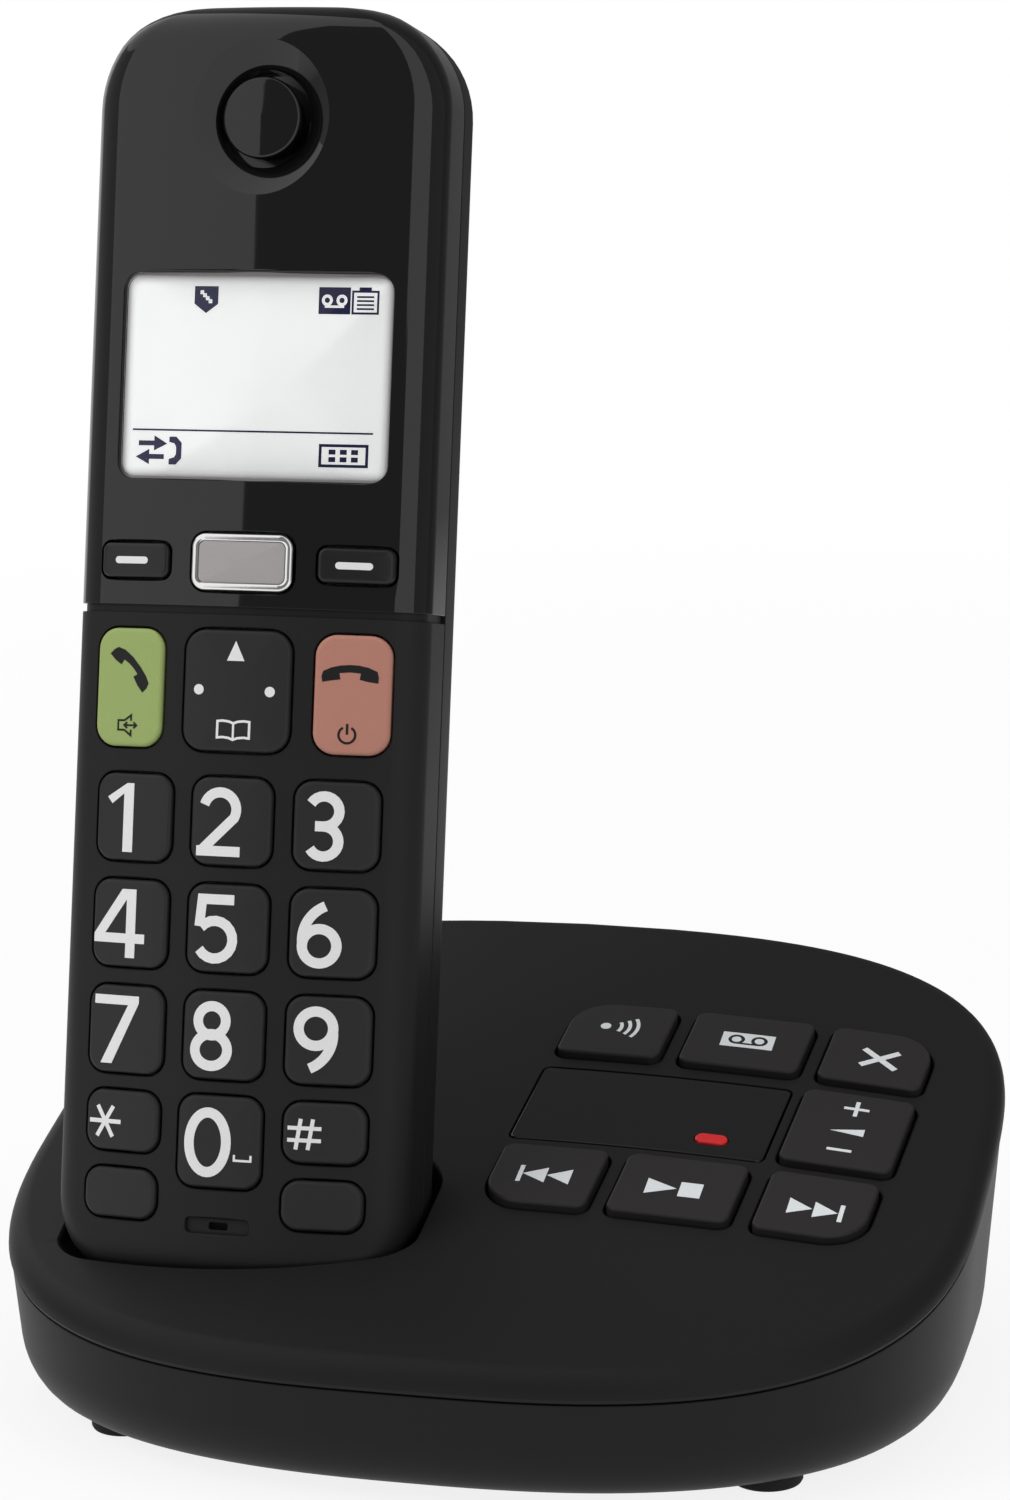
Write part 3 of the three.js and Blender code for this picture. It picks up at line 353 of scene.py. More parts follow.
class Palette:
    """Every finish of the object, made once and then shared."""

    base_plastic = Plastic("base_plastic", (0.0112, 0.0110, 0.0112), 0.50, 0.16, 0.004)
    base_key = Plastic("base_key", (0.0200, 0.0180, 0.0185), 0.47, 0.25, 0.003)
    handset_plastic = Plastic("handset_plastic", (0.0125, 0.0125, 0.0135), 0.50, 0.22, 0.004)
    handset_key = Plastic("handset_key", (0.0200, 0.0188, 0.0192), 0.47, 0.30, 0.003)
    gloss_black = Plastic("gloss_black", (0.0048, 0.0047, 0.0047), 0.045, 0.5, 0.0, uneven=0.015)
    soft_key = Plastic("soft_key_black", (0.0110, 0.0110, 0.0110), 0.32, 0.35, 0.002)
    green_key = Plastic("green_key", (0.335, 0.430, 0.145), 0.45, 0.35, 0.002)
    red_key = Plastic("red_key", (0.500, 0.225, 0.170), 0.45, 0.35, 0.002)
    insert = Plastic("message_insert", (0.400, 0.380, 0.375), 0.35, 0.45, 0.001)
    white_ink = Plastic("white_ink", (0.860, 0.860, 0.860), 0.5, 0.3)
    pale_ink = Plastic("pale_ink", (0.690, 0.720, 0.735), 0.5, 0.3)
    black_ink = Plastic("black_ink", (0.0060, 0.0070, 0.0060), 0.5, 0.3)
    navy_ink = Plastic("display_segments", (0.0080, 0.0110, 0.0750), 0.5, 0.2)
    red_lamp = Plastic("red_lamp", (0.640, 0.008, 0.011), 0.30, 0.4, coat=0.3)
    rubber = Plastic("foot_rubber", (0.0100, 0.0100, 0.0100), 0.8, 0.3, 0.006, 0.4)
    socket = Plastic("socket_black", (0.0090, 0.0090, 0.0090), 0.5, 0.4, 0.003)
    silicone = Plastic("keypad_silicone", (0.280, 0.300, 0.290), 0.75, 0.3, 0.003)
    board = Plastic("circuit_board", (0.015, 0.110, 0.045), 0.35, 0.5, 0.002, 0.8)
    cell = Plastic("cell_wrap", (0.040, 0.150, 0.330), 0.3, 0.5, 0.002, 2.0)
    speaker = Plastic("speaker_black", (0.0110, 0.0110, 0.0110), 0.55, 0.4, 0.004)
    chrome = Metal("plated_rim", (0.86, 0.85, 0.85), 0.04)
    contact = Metal("contact_metal", (0.80, 0.62, 0.30), 0.18)
    steel = Metal("screw_steel", (0.50, 0.50, 0.52), 0.28)
    lens = ClearLens()

    _made: dict[str, bpy.types.Material] = {}

    @classmethod
    def of(cls, finish: Finish) -> bpy.types.Material:
        """The material of a finish, built at its first use."""
        if finish.name not in cls._made:
            cls._made[finish.name] = finish.material()
        return cls._made[finish.name]


# Shapes


def quarter(steps: int) -> list[float]:
    """Angles of a quarter turn, both ends included."""
    return [index / steps * math.pi / 2 for index in range(steps + 1)]


def arc(x: float, y: float, radius: float, start: float, end: float, steps: int = 16,
        tall: float = 1.0) -> list[Flat]:
    """Points on an arc about (x, y), from one angle to another in degrees, stretched upwards by a share."""
    angles = (math.radians(start + (end - start) * step / steps) for step in range(steps + 1))
    return [(x + radius * math.cos(angle), y + radius * tall * math.sin(angle)) for angle in angles]


def even(radius: float) -> tuple[float, float, float, float]:
    """Four like corner radii."""
    return (radius, radius, radius, radius)


def at(level: float) -> Height:
    """A surface that is level."""
    return lambda x, y: level


@dataclass(frozen=True)
class Outline:
    """A rectangle with four corner radii, anticlockwise from the upper right, whose sides may slant."""

    x: float
    y: float
    width: float
    height: float
    corners: tuple[float, float, float, float]
    steps: int = 8
    slant: float = 0.0
    side_steps: int = 1

    def points(self, grow: float = 0.0) -> list[Flat]:
        """The outline's points, grown outwards."""
        turns: list[list[Flat]] = []
        for index, (side_x, side_y) in enumerate(((1, 1), (-1, 1), (-1, -1), (1, -1))):
            radius = max(self.corners[index] + grow, LEAST_RADIUS)
            x = self.x + side_x * (self.width / 2 + grow - radius)
            y = self.y + side_y * (self.height / 2 + grow - radius)
            turns.append(arc(x, y, radius, 90.0 * index, 90.0 * (index + 1), self.steps))
        ring: list[Flat] = []
        for turn, after in zip(turns, turns[1:] + turns[:1]):
            start, end = Vector(turn[-1]), Vector(after[0])
            side = [start.lerp(end, step / self.side_steps) for step in range(1, self.side_steps)]
            ring += turn + [tuple(point) for point in side]
        return [(x + self.slant * (y - self.y), y) for x, y in ring]

    def ring(self, grow: float, height: Height, lift: float = 0.0, share: float = 1.0) -> list[Vector]:
        """The outline as places.

        Args:
            grow: How far it grows outwards.
            height: The surface it lies on.
            lift: How far above that surface.
            share: How far it is drawn in towards its middle.

        Returns:
            One place for each point.
        """
        drawn = [(self.x + (x - self.x) * share, self.y + (y - self.y) * share) for x, y in self.points(grow)]
        return [Vector((x, y, height(x, y) + lift)) for x, y in drawn]


@dataclass(frozen=True)
class Rounded:
    """The size of a rectangle with like corners."""

    width: float
    height: float
    radius: float

    def placed(self, x: float, y: float) -> Outline:
        """Its outline about a middle."""
        return Outline(x, y, self.width, self.height, even(self.radius))


class Loft:
    """A mesh that is grown from one ring of vertices, ring by ring."""

    def __init__(self, first: Sequence[Vector], capped: bool = True) -> None:
        """Starts at a ring, with a flat face over it where it is capped."""
        self.mesh = bmesh.new()
        self.order = self.mesh.verts.layers.int.new("order")
        self.verts = bmesh.ops.create_circle(self.mesh, segments=len(first), radius=1.0)["verts"]
        for index, vert in enumerate(self.verts):
            vert[self.order] = index
        self.edges = list(self.mesh.edges)
        self._settle(first)
        if capped:
            bmesh.ops.contextual_create(self.mesh, geom=self.edges)

    def _settle(self, places: Sequence[Vector]) -> None:
        """Moves the open ring to its places."""
        for vert in self.verts:
            vert.co = places[vert[self.order]]

    def ring(self, places: Sequence[Vector]) -> Loft:
        """Grows the open ring to new places."""
        made = bmesh.ops.extrude_edge_only(self.mesh, edges=self.edges)["geom"]
        self.verts = [item for item in made if isinstance(item, bmesh.types.BMVert)]
        self.edges = [item for item in made if isinstance(item, bmesh.types.BMEdge)]
        self._settle(places)
        return self

    def rings(self, many: Iterable[Sequence[Vector]]) -> Loft:
        """Grows through several rings."""
        for places in many:
            self.ring(places)
        return self

    def cap(self) -> Loft:
        """Closes the open ring with one flat face."""
        bmesh.ops.contextual_create(self.mesh, geom=self.edges)
        return self

    def pole(self, place: Vector) -> Loft:
        """Closes the open ring with a fan to one point."""
        made = bmesh.ops.extrude_edge_only(self.mesh, edges=self.edges)["geom"]
        verts = [item for item in made if isinstance(item, bmesh.types.BMVert)]
        bmesh.ops.pointmerge(self.mesh, verts=verts, merge_co=place)
        return self

    def outward(self) -> bmesh.types.BMesh:
        """The mesh, with its faces pointing outwards."""
        bmesh.ops.recalc_face_normals(self.mesh, faces=list(self.mesh.faces))
        return self.mesh


def solid(name: str, mesh: bmesh.types.BMesh, place: Matrix | None = None) -> Piece:
    """Makes an object of a finished bmesh, with its faces pointing outwards.

    Args:
        name: The object's name.
        mesh: The bmesh, which is freed.
        place: Where to bring it.

    Returns:
        The new object, in the scene.
    """
    bmesh.ops.recalc_face_normals(mesh, faces=list(mesh.faces))
    if place is not None:
        mesh.transform(place)
    data = bpy.data.meshes.new(name)
    mesh.to_mesh(data)
    mesh.free()
    made = bpy.data.objects.new(name, data)
    bpy.context.scene.collection.objects.link(made)
    return made


def applied(piece: Piece) -> Piece:
    """Gives a piece the mesh that its modifiers make of it."""
    bpy.context.view_layer.update()
    shaped = piece.evaluated_get(bpy.context.evaluated_depsgraph_get())
    data = bpy.data.meshes.new_from_object(shaped)
    piece.modifiers.clear()
    old, piece.data = piece.data, data
    bpy.data.meshes.remove(old)
    return piece


def work(target: Piece, tools: Sequence[Piece],
         cut: Cut = Cut.AWAY) -> Piece:
    """Cuts or joins a piece with solid tools, which are used up.

    Args:
        target: The piece.
        tools: Solids in the same frame.
        cut: What they do to it.

    Returns:
        The piece, with its new mesh.
    """
    for tool in tools:
        step = target.modifiers.new(tool.name, "BOOLEAN")
        step.operation = cut.value
        step.solver = "EXACT"
        step.object = tool
    applied(target)
    for tool in tools:
        bpy.data.objects.remove(tool)
    return target


def softened(piece: Piece, width: float, least_deg: float = 55.0) -> Piece:
    """Rounds the sharp edges of a piece.

    Args:
        piece: The piece.
        width: How wide the rounding is.
        least_deg: The angle from which an edge is sharp.

    Returns:
        The piece.
    """
    mesh = bmesh.new()
    mesh.from_mesh(piece.data)
    bmesh.ops.remove_doubles(mesh, verts=mesh.verts, dist=2 * MERGE)
    sharp = [edge for edge in mesh.edges
             if len(edge.link_faces) == 2 and edge.calc_face_angle() > math.radians(least_deg)]
    bmesh.ops.bevel(mesh, geom=sharp, offset=width, segments=2, affect="EDGES", profile=0.5,
                    material=-1, clamp_overlap=True)
    mesh.to_mesh(piece.data)
    mesh.free()
    return piece


def block(x: Flat, y: Flat, z: Flat, place: Matrix | None = None) -> Piece:
    """A box.

    Args:
        x: Its limits across.
        y: Its limits in depth.
        z: Its limits in height.
        place: Where to bring it.

    Returns:
        The box.
    """
    mesh = bmesh.new()
    bmesh.ops.create_cube(mesh, size=1.0)
    bmesh.ops.scale(mesh, vec=(x[1] - x[0], y[1] - y[0], z[1] - z[0]), verts=mesh.verts)
    bmesh.ops.translate(mesh, vec=(sum(x) / 2, sum(y) / 2, sum(z) / 2), verts=mesh.verts)
    return solid("block", mesh, place)


def turned(name: str, profile: Sequence[Flat], x: float, y: float, steps: int) -> Piece:
    """A turned solid about an upright axis.

    Args:
        name: The object's name.
        profile: Points of (radius, height) from the axis round to the axis.
        x: The axis's place.
        y: The axis's place.
        steps: Sides of the turning.

    Returns:
        The solid.
    """
    mesh = bmesh.new()
    verts = [mesh.verts.new((radius, 0.0, height)) for radius, height in profile]
    edges = [mesh.edges.new(pair) for pair in zip(verts, verts[1:])]
    bmesh.ops.spin(mesh, geom=verts + edges, cent=(0, 0, 0), axis=(0, 0, 1), angle=math.tau, steps=steps,
                   use_merge=True)
    bmesh.ops.remove_doubles(mesh, verts=mesh.verts, dist=MERGE)
    bmesh.ops.translate(mesh, vec=(x, y, 0.0), verts=mesh.verts)
    return solid(name, mesh)


def prism(outline: Outline, low: float, high: float) -> Piece:
    """An upright solid on an outline."""
    return solid("prism", Loft(outline.ring(0.0, at(low))).ring(outline.ring(0.0, at(high))).cap().mesh)


def hole_tool(outline: Outline, gap: float, rim: float, low: float, surface: Height,
              place: Matrix | None = None, side: Side = Side.OUT) -> Piece:
    """A cutting tool for a hole with a softened rim in a curved surface.

    Args:
        outline: The outline of what goes through.
        gap: Clearance round it.
        rim: How wide the softened rim is.
        low: The height of the tool's inner end.
        surface: Height of the surface.
        place: Where to bring the tool.
        side: The way the surface faces.

    Returns:
        The tool.
    """
    loft = Loft(outline.ring(gap, at(low)))
    for out, lift in RIM:
        loft.ring(outline.ring(gap + out * rim, surface, lift * rim * side.value))
    outside = surface(outline.x, outline.y) + TOOL_REACH * side.value
    loft.ring(outline.ring(gap + RIM[-1][0] * rim, at(outside))).cap()
    return solid("hole", loft.mesh, place)


@dataclass(frozen=True)
class Pad:
    """A raised piece on an outline whose top follows the surface around it, such as a key's cap."""

    name: str
    outline: Outline
    rise: float
    edge: float
    seat: float
    side: Side = Side.OUT
    turn_steps: int = 5
    dome_shares: tuple[float, ...] = (0.8, 0.55, 0.3)
    lip_profile: tuple[Flat, ...] = ((0.75, 0.0), (0.93, -0.08), (1.0, -0.25))
    floor_shares: tuple[float, ...] = (0.7, 0.35)

    def loft(self, surface: Height) -> Loft:
        """The sides and the rounded edge, up to the flat of the top."""
        way = self.side.value
        loft = Loft(self.outline.ring(0.0, surface, -self.seat * way))
        for angle in quarter(self.turn_steps):
            lift = self.rise - self.edge * (1 - math.sin(angle))
            loft.ring(self.outline.ring(self.edge * (math.cos(angle) - 1), surface, lift * way))
        return loft

    def topped(self, loft: Loft, surface: Height, place: Matrix, lift: float) -> Piece:
        """Closes the sides over their middle and makes the piece of them."""
        x, y = self.outline.x, self.outline.y
        return solid(self.name, loft.pole(Vector((x, y, surface(x, y) + lift))).mesh, place)

    def closed(self, surface: Height, place: Matrix) -> Piece:
        """The whole piece with its domed top.

        Args:
            surface: Height of the surface around it.
            place: Where to bring it.

        Returns:
            The piece.
        """
        loft = self.loft(surface)
        lift = self.rise * self.side.value
        for share in self.dome_shares:
            loft.ring(self.outline.ring(-self.edge, surface, lift, share))
        return self.topped(loft, surface, place, lift)

    def rim(self, surface: Height, place: Matrix, width: float, drop: float) -> Piece:
        """The piece as a raised rim round a sunk floor.

        Args:
            surface: Height of the surface around it.
            place: Where to bring it.
            width: How wide the rim is.
            drop: How far the floor lies under it.

        Returns:
            The piece.
        """
        loft = self.loft(surface)
        for share, fall in self.lip_profile + ((1.0, -drop),):
            loft.ring(self.outline.ring(-width * share, surface, self.rise + fall))
        for share in self.floor_shares:
            loft.ring(self.outline.ring(-width, surface, self.rise - drop, share))
        return self.topped(loft, surface, place, self.rise - drop)


@dataclass
class Mark:
    """A printed mark, drawn flat with strokes and filled shapes and laid on a surface."""

    strokes: list[tuple[list[Flat], float]] = field(default_factory=list)
    shapes: list[list[Flat]] = field(default_factory=list)
    holes: list[tuple[list[Flat], int]] = field(default_factory=list)
    least_mitre: float = 0.35

    def line(self, width: float, *points: Flat) -> Mark:
        """Adds a stroke of a width through points."""
        self.strokes.append((list(points), width))
        return self

    def fill(self, *points: Flat) -> Mark:
        """Adds a filled shape."""
        self.shapes.append(list(points))
        return self

    def hole(self, *points: Flat) -> Mark:
        """Adds a shape that is cut out of the shapes filled so far."""
        self.holes.append((list(points), len(self.shapes)))
        return self

    def box(self, left: float, low: float, right: float, high: float) -> Mark:
        """Adds a filled rectangle."""
        return self.fill((left, low), (right, low), (right, high), (left, high))

    def slot(self, left: float, low: float, right: float, high: float) -> Mark:
        """Adds a rectangle that is cut out of the shapes filled so far."""
        return self.hole((left, low), (right, low), (right, high), (left, high))

    def dot(self, x: float, y: float, radius: float) -> Mark:
        """Adds a filled disc."""
        return self.fill(*arc(x, y, radius, 0.0, 360.0, 24)[:-1])

    def moved(self, x: float, y: float) -> Mark:
        """The mark at another place."""
        def there(points: list[Flat]) -> list[Flat]:
            """The points at the other place."""
            return [(across + x, up + y) for across, up in points]

        return Mark([(there(points), width) for points, width in self.strokes],
                    [there(points) for points in self.shapes],
                    [(there(points), count) for points, count in self.holes])

    def half_turned(self, x: float, y: float) -> Mark:
        """The mark's strokes, turned half way about a point."""
        return Mark([([(2 * x - across, 2 * y - up) for across, up in points], width)
                     for points, width in self.strokes])

    def _ribbon(self, points: list[Flat], width: float, low: float, high: float) -> Piece:
        """A stroke as one flat bar.

        Args:
            points: The points it runs through, closed where the last is the first.
            width: Its even width.
            low: Height of its lower side.
            high: Height of its upper side.

        Returns:
            The bar.
        """
        mesh = bmesh.new()
        path = [Vector(point) for point in points]
        closed = (path[0] - path[-1]).length < MERGE
        if closed:
            path.pop()
        count = len(path)
        left, right = [], []
        for index, here in enumerate(path):
            before = path[index - 1] if closed or index else None
            after = path[(index + 1) % count] if closed or index + 1 < count else None
            joins = ((before, here), (here, after))
            steps = [(end - start).normalized() for start, end in joins if start and end]
            along = sum(steps, Vector((0.0, 0.0))).normalized()
            mitre = max(abs(along.dot(steps[0])), self.least_mitre)
            across = Vector((-along.y, along.x)) * (width / 2 / mitre)
            left.append(mesh.verts.new((*(here + across), 0.0)))
            right.append(here - across)
        pairs = list(zip(left, left[1:])) + ([(left[-1], left[0])] if closed else [])
        edges = [mesh.edges.new(pair) for pair in pairs]
        opposite = {tuple(vert.co.xy): spot for vert, spot in zip(left, right)}
        made = bmesh.ops.extrude_edge_only(mesh, edges=edges)["geom"]
        for item in made:
            if isinstance(item, bmesh.types.BMVert):
                item.co.xy = opposite[tuple(item.co.xy)]
        return solid("stroke", Mark._raised(mesh, low, high))

    @staticmethod
    def _raised(mesh: bmesh.types.BMesh, low: float, high: float) -> bmesh.types.BMesh:
        """Gives the flat faces of a mesh their thickness."""
        made = bmesh.ops.extrude_face_region(mesh, geom=list(mesh.faces))["geom"]
        tops = [item for item in made if isinstance(item, bmesh.types.BMVert)]
        bmesh.ops.translate(mesh, vec=(0.0, 0.0, high - low), verts=tops)
        bmesh.ops.translate(mesh, vec=(0.0, 0.0, low), verts=mesh.verts)
        return mesh

    @staticmethod
    def _plate(shape: list[Flat], low: float, high: float) -> Piece:
        """A flat plate on a shape."""
        mesh = bmesh.new()
        verts = [mesh.verts.new((x, y, 0.0)) for x, y in shape]
        edges = [mesh.edges.new(pair) for pair in zip(verts, verts[1:] + verts[:1])]
        bmesh.ops.contextual_create(mesh, geom=edges)
        return solid("plate", Mark._raised(mesh, low, high))

    def laid(self, name: str, surface: Height, place: Matrix, step: float) -> Piece:
        """Builds the mark on a surface.

        Args:
            name: The object's name.
            surface: Height of the surface it lies on.
            place: Where to bring it.
            step: How finely it bends to the surface across it.

        Returns:
            The mark as one object.
        """
        parts = []
        for index, shape in enumerate(self.shapes):
            plate = self._plate(shape, -INK, INK)
            holes = [self._plate(hole, -2 * INK, 2 * INK) for hole, count in self.holes if index < count]
            parts.append(work(plate, holes) if holes else plate)
        parts += [self._ribbon(points, width, -INK, INK) for points, width in self.strokes]
        if len(parts) > 1:
            work(parts[0], parts[1:], Cut.JOIN)
        mesh = bmesh.new()
        mesh.from_mesh(parts[0].data)
        bpy.data.objects.remove(parts[0])
        across = [vert.co.x for vert in mesh.verts]
        for index in range(1, int((max(across) - min(across)) / step) + 1):
            everything = list(mesh.verts) + list(mesh.edges) + list(mesh.faces)
            bmesh.ops.bisect_plane(mesh, geom=everything, plane_co=(min(across) + index * step, 0, 0),
                                   plane_no=(1, 0, 0))
        for vert in mesh.verts:
            vert.co.z += surface(vert.co.x, vert.co.y)
        return solid(name, mesh, place)


class Glyphs:
    """The figures and symbols, drawn about the middle of their key."""

    stroke = 1.42
    middle = -1.6
    low = -4.2
    high = 4.05

    @classmethod
    def figure(cls, which: str) -> Mark:
        """One figure of the dial keys."""
        mark, width, x = Mark(), cls.stroke, cls.middle
        if which == "1":
            mark.fill((-0.05, 4.77), (-1.13, 4.77), (-4.25, 2.74), (-3.48, 1.81), (-1.61, 3.3),
                      (-1.61, -4.97), (-0.05, -4.97))
        elif which == "2":
            mark.line(width, *arc(x, 1.65, 2.4, 165, -28), (x - 2.65, cls.low))
            mark.line(width, (x - 3.35, cls.low), (x + 3.1, cls.low))
        elif which == "3":
            mark.line(width, *arc(x, 2.0, 2.1, 150, -90), (x - 1.2, -0.1))
            mark.line(width, (x - 1.2, -0.1), *arc(x, -2.2, 2.1, 90, -150))
        elif which == "4":
            mark.fill((0.95, 4.8), (-1.28, 4.8), (-5.63, -1.6), (-5.63, -2.83), (-0.54, -2.83), (-0.54, -4.9),
                      (0.95, -4.9), (0.95, -2.83), (2.43, -2.83), (2.43, -1.48), (0.95, -1.48))
            mark.hole((-0.54, -1.48), (-0.54, 3.35), (-3.85, -1.48))
        elif which == "5":
            mark.line(width, (x + 2.6, cls.high), (x - 2.1, cls.high), (x - 2.45, 0.2))
            mark.line(width, *arc(x - 0.1, -1.6, 2.65, 141, -148))
        elif which == "6":
            mark.line(width, *arc(x, -1.8, 2.4, 0, 360, 32))
            mark.line(width, *arc(x + 2.7, -0.9, 5.1, 185, 113))
        elif which == "7":
            mark.fill((-5.07, 4.75), (-5.07, 3.45), (0.3, 3.45), (-3.85, -4.9), (-2.05, -4.9), (1.99, 3.75),
                      (1.99, 4.75))
        elif which == "8":
            mark.line(width, *arc(x, 2.05, 2.05, 0, 360, 32))
            mark.line(width, *arc(x, -2.05, 2.4, 0, 360, 32, 0.93))
        elif which == "9":
            mark = cls.figure("6").half_turned(x, -0.05)
        else:
            mark.line(width, *arc(x, -0.08, 2.75, 0, 360, 40, 1.52))
        return mark

    @staticmethod
    def star() -> Mark:
        """The star."""
        mark = Mark()
        for turn in (0, 60, 120):
            mark.line(0.6, *arc(-2.7, -0.2, 2.5, turn, turn + 180, 1))
        return mark

    @staticmethod
    def hash_sign() -> Mark:
        """The hash sign."""
        mark = Mark()
        for step in (-0.85, 0.85):
            mark.line(0.55, (-2.95 + step, -2.35), (-2.35 + step, 1.95))
            mark.line(0.55, (-5.0, -0.2 + step), (-0.3, -0.2 + step))
        return mark

    @staticmethod
    def space() -> Mark:
        """The space sign under the nought."""
        return Mark().line(0.32, (2.4, -1.6), (2.4, -2.4), (4.8, -2.4), (4.8, -1.6))

    @staticmethod
    def dash(x: float) -> Mark:
        """The round-ended dash of a soft key, about the handset's own origin."""
        y, reach, radius = 36.28, 2.1, 0.5
        right, left = arc(x + reach, y, radius, -90, 90, 10), arc(x - reach, y, radius, 90, 270, 10)
        return Mark().fill(*right, *left)

    @staticmethod
    def navigation() -> Mark:
        """The symbols of the navigation key, about the handset's own origin."""
        mark = Mark().fill((-0.18, 25.3), (-1.43, 22.5), (1.15, 22.5))
        mark.dot(-5.48, 18.36, 0.73).dot(4.98, 18.33, 0.73)
        mark.line(0.34, (-0.15, 13.75), (-0.8, 14.0), (-1.7, 14.1), (-2.5, 14.02), (-2.5, 11.72),
                  (-1.7, 11.8), (-0.8, 11.7), (-0.15, 11.45), (0.5, 11.7), (1.4, 11.8), (2.2, 11.72),
                  (2.2, 14.02), (1.4, 14.1), (0.5, 14.0), (-0.15, 13.75))
        return mark.line(0.3, (-0.15, 13.75), (-0.15, 11.45))

    @staticmethod
    def talk() -> Mark:
        """The lifted receiver and the loudspeaker, about the handset's own origin."""
        mark = Mark().fill((-19.64, 22.99), (-18.98, 23.62), (-18.33, 23.94), (-17.2, 23.55), (-15.9, 22.55),
                           (-14.6, 21.1), (-13.75, 19.9), (-13.32, 18.91), (-13.62, 18.2), (-14.27, 17.58),
                           (-15.1, 18.6), (-15.79, 19.8), (-15.15, 20.16), (-15.75, 20.95), (-16.5, 21.65),
                           (-17.34, 22.19), (-17.77, 21.47), (-18.75, 22.1))
        mark.line(0.28, (-16.95, 13.6), (-17.95, 13.6), (-17.95, 12.25), (-16.95, 12.25))
        mark.line(0.28, (-16.95, 13.6), (-15.9, 14.35), (-15.9, 13.55))
        mark.line(0.28, (-16.95, 12.25), (-15.9, 11.5), (-15.9, 12.3))
        mark.line(0.26, (-16.95, 12.93), (-15.05, 12.93))
        mark.line(0.26, (-15.5, 13.35), (-15.0, 12.93), (-15.5, 12.5))
        return mark.line(0.26, (-16.5, 13.35), (-17.0, 12.93), (-16.5, 12.5))

    @staticmethod
    def end() -> Mark:
        """The laid receiver and the power sign, about the handset's own origin."""
        mark = Mark().fill((12.40, 21.55), (13.51, 22.08), (14.69, 22.37), (16.06, 22.51), (17.3, 22.47),
                           (18.61, 22.21), (19.85, 21.68), (20.05, 20.85), (20.01, 20.07), (18.69, 20.22),
                           (17.48, 20.5), (17.6, 21.37), (16.16, 21.48), (14.66, 21.33), (14.82, 20.47),
                           (13.58, 20.28), (12.33, 20.04), (12.2, 20.8))
        mark.line(0.32, *arc(16.0, 12.75, 1.15, 60, -240, 24))
        return mark.line(0.32, (16.0, 12.8), (16.0, 14.3))

    @staticmethod
    def display() -> Mark:
        """The display's symbols, about the handset's own origin."""
        mark = Mark().line(0.26, (-18.2, 54.9), (17.4, 54.9))
        mark.fill((-9.68, 75.3), (-9.68, 72.8), (-7.92, 71.48), (-6.16, 72.8), (-6.16, 75.3))
        for step in range(4):
            mark.slot(-8.85 + step * 0.42, 74.15 - step * 0.42, -8.3 + step * 0.42, 74.7 - step * 0.42)
        mark.box(8.71, 71.55, 13.36, 75.33)
        for x in (9.95, 12.1):
            mark.hole(*arc(x, 73.5, 0.82, 0, 360, 16)[:-1]).dot(x, 73.5, 0.38)
        mark.slot(9.6, 72.45, 12.45, 72.78)
        mark.line(0.3, (13.7, 74.75), (17.4, 74.75), (17.4, 71.7), (13.7, 71.7), (13.7, 74.75))
        mark.box(14.6, 74.9, 16.4, 75.35)
        for step in range(4):
            mark.line(0.26, (14.3, 74.0 - step * 0.56), (16.8, 74.0 - step * 0.56))
        mark.fill((-17.2, 53.35), (-14.9, 53.35), (-14.9, 54.1), (-12.95, 52.95), (-14.9, 51.95),
                  (-14.9, 52.65), (-17.2, 52.65))
        mark.fill((-13.4, 51.45), (-15.6, 51.45), (-15.6, 52.15), (-17.6, 51.05), (-15.6, 50.0),
                  (-15.6, 50.75), (-13.4, 50.75))
        mark.fill((-12.65, 53.96), (-11.6, 53.96), (-10.79, 53.1), (-10.79, 50.9), (-11.6, 50.01),
                  (-12.65, 50.01), (-12.65, 50.8), (-11.85, 51.05), (-11.6, 51.5), (-11.6, 52.5),
                  (-11.85, 53.0), (-12.65, 53.2))
        mark.line(0.42, (9.75, 53.15), (16.6, 53.15), (16.6, 50.3), (9.75, 50.3), (9.75, 53.15))
        for column in range(3):
            for row in range(2):
                x, y = 11.0 + column * 1.65, 50.85 + row * 1.05
                mark.box(x, y, x + 1.0, y + 0.7)
        return mark

    @staticmethod
    def panel() -> dict[str, Mark]:
        """The symbols of the control keys by key, about the panel's own origin."""
        paging = Mark().dot(-18.9, 15.3, 0.8)
        for radius in (2.4, 3.65, 4.9):
            paging.line(0.55, *arc(-18.9, 15.3, radius, -30, 30, 10))
        tape = Mark().box(-1.1, 12.95, 6.8, 16.7)
        for x in (1.15, 4.6):
            tape.hole(*arc(x, 14.95, 1.25, 0, 360, 24)[:-1]).dot(x, 14.95, 0.72)
        tape.slot(1.15, 13.7, 4.6, 14.15)
        erase = Mark().line(1.0, (20.15, 16.7), (25.4, 12.2)).line(1.0, (20.15, 12.4), (25.4, 16.7))
        volume = Mark().line(0.6, (19.85, 0.8), (23.55, 0.8)).line(0.6, (21.7, 2.65), (21.7, -1.05))
        volume.fill((18.86, -5.2), (23.75, -5.84), (23.75, -4.05)).line(0.6, (19.16, -9.85), (22.75, -9.85))
        back = Mark().line(0.65, (-22.4, -22.25), (-22.4, -26.2))
        back.fill((-22.05, -24.2), (-18.6, -26.05), (-18.6, -22.4))
        back.fill((-18.5, -24.2), (-15.05, -26.05), (-15.05, -22.4))
        play = Mark().fill((-4.05, -22.52), (-4.05, -26.23), (0.36, -24.37)).box(0.75, -26.1, 3.95, -22.65)
        forward = Mark().line(0.65, (23.95, -23.0), (23.95, -27.0))
        forward.fill((16.4, -22.95), (16.4, -26.65), (19.85, -24.9))
        forward.fill((20.05, -23.1), (20.05, -26.8), (23.5, -25.05))
        return {"paging_key": paging, "answer_key": tape, "erase_key": erase, "volume_key": volume,
                "skip_back_key": back, "play_stop_key": play, "skip_forward_key": forward}


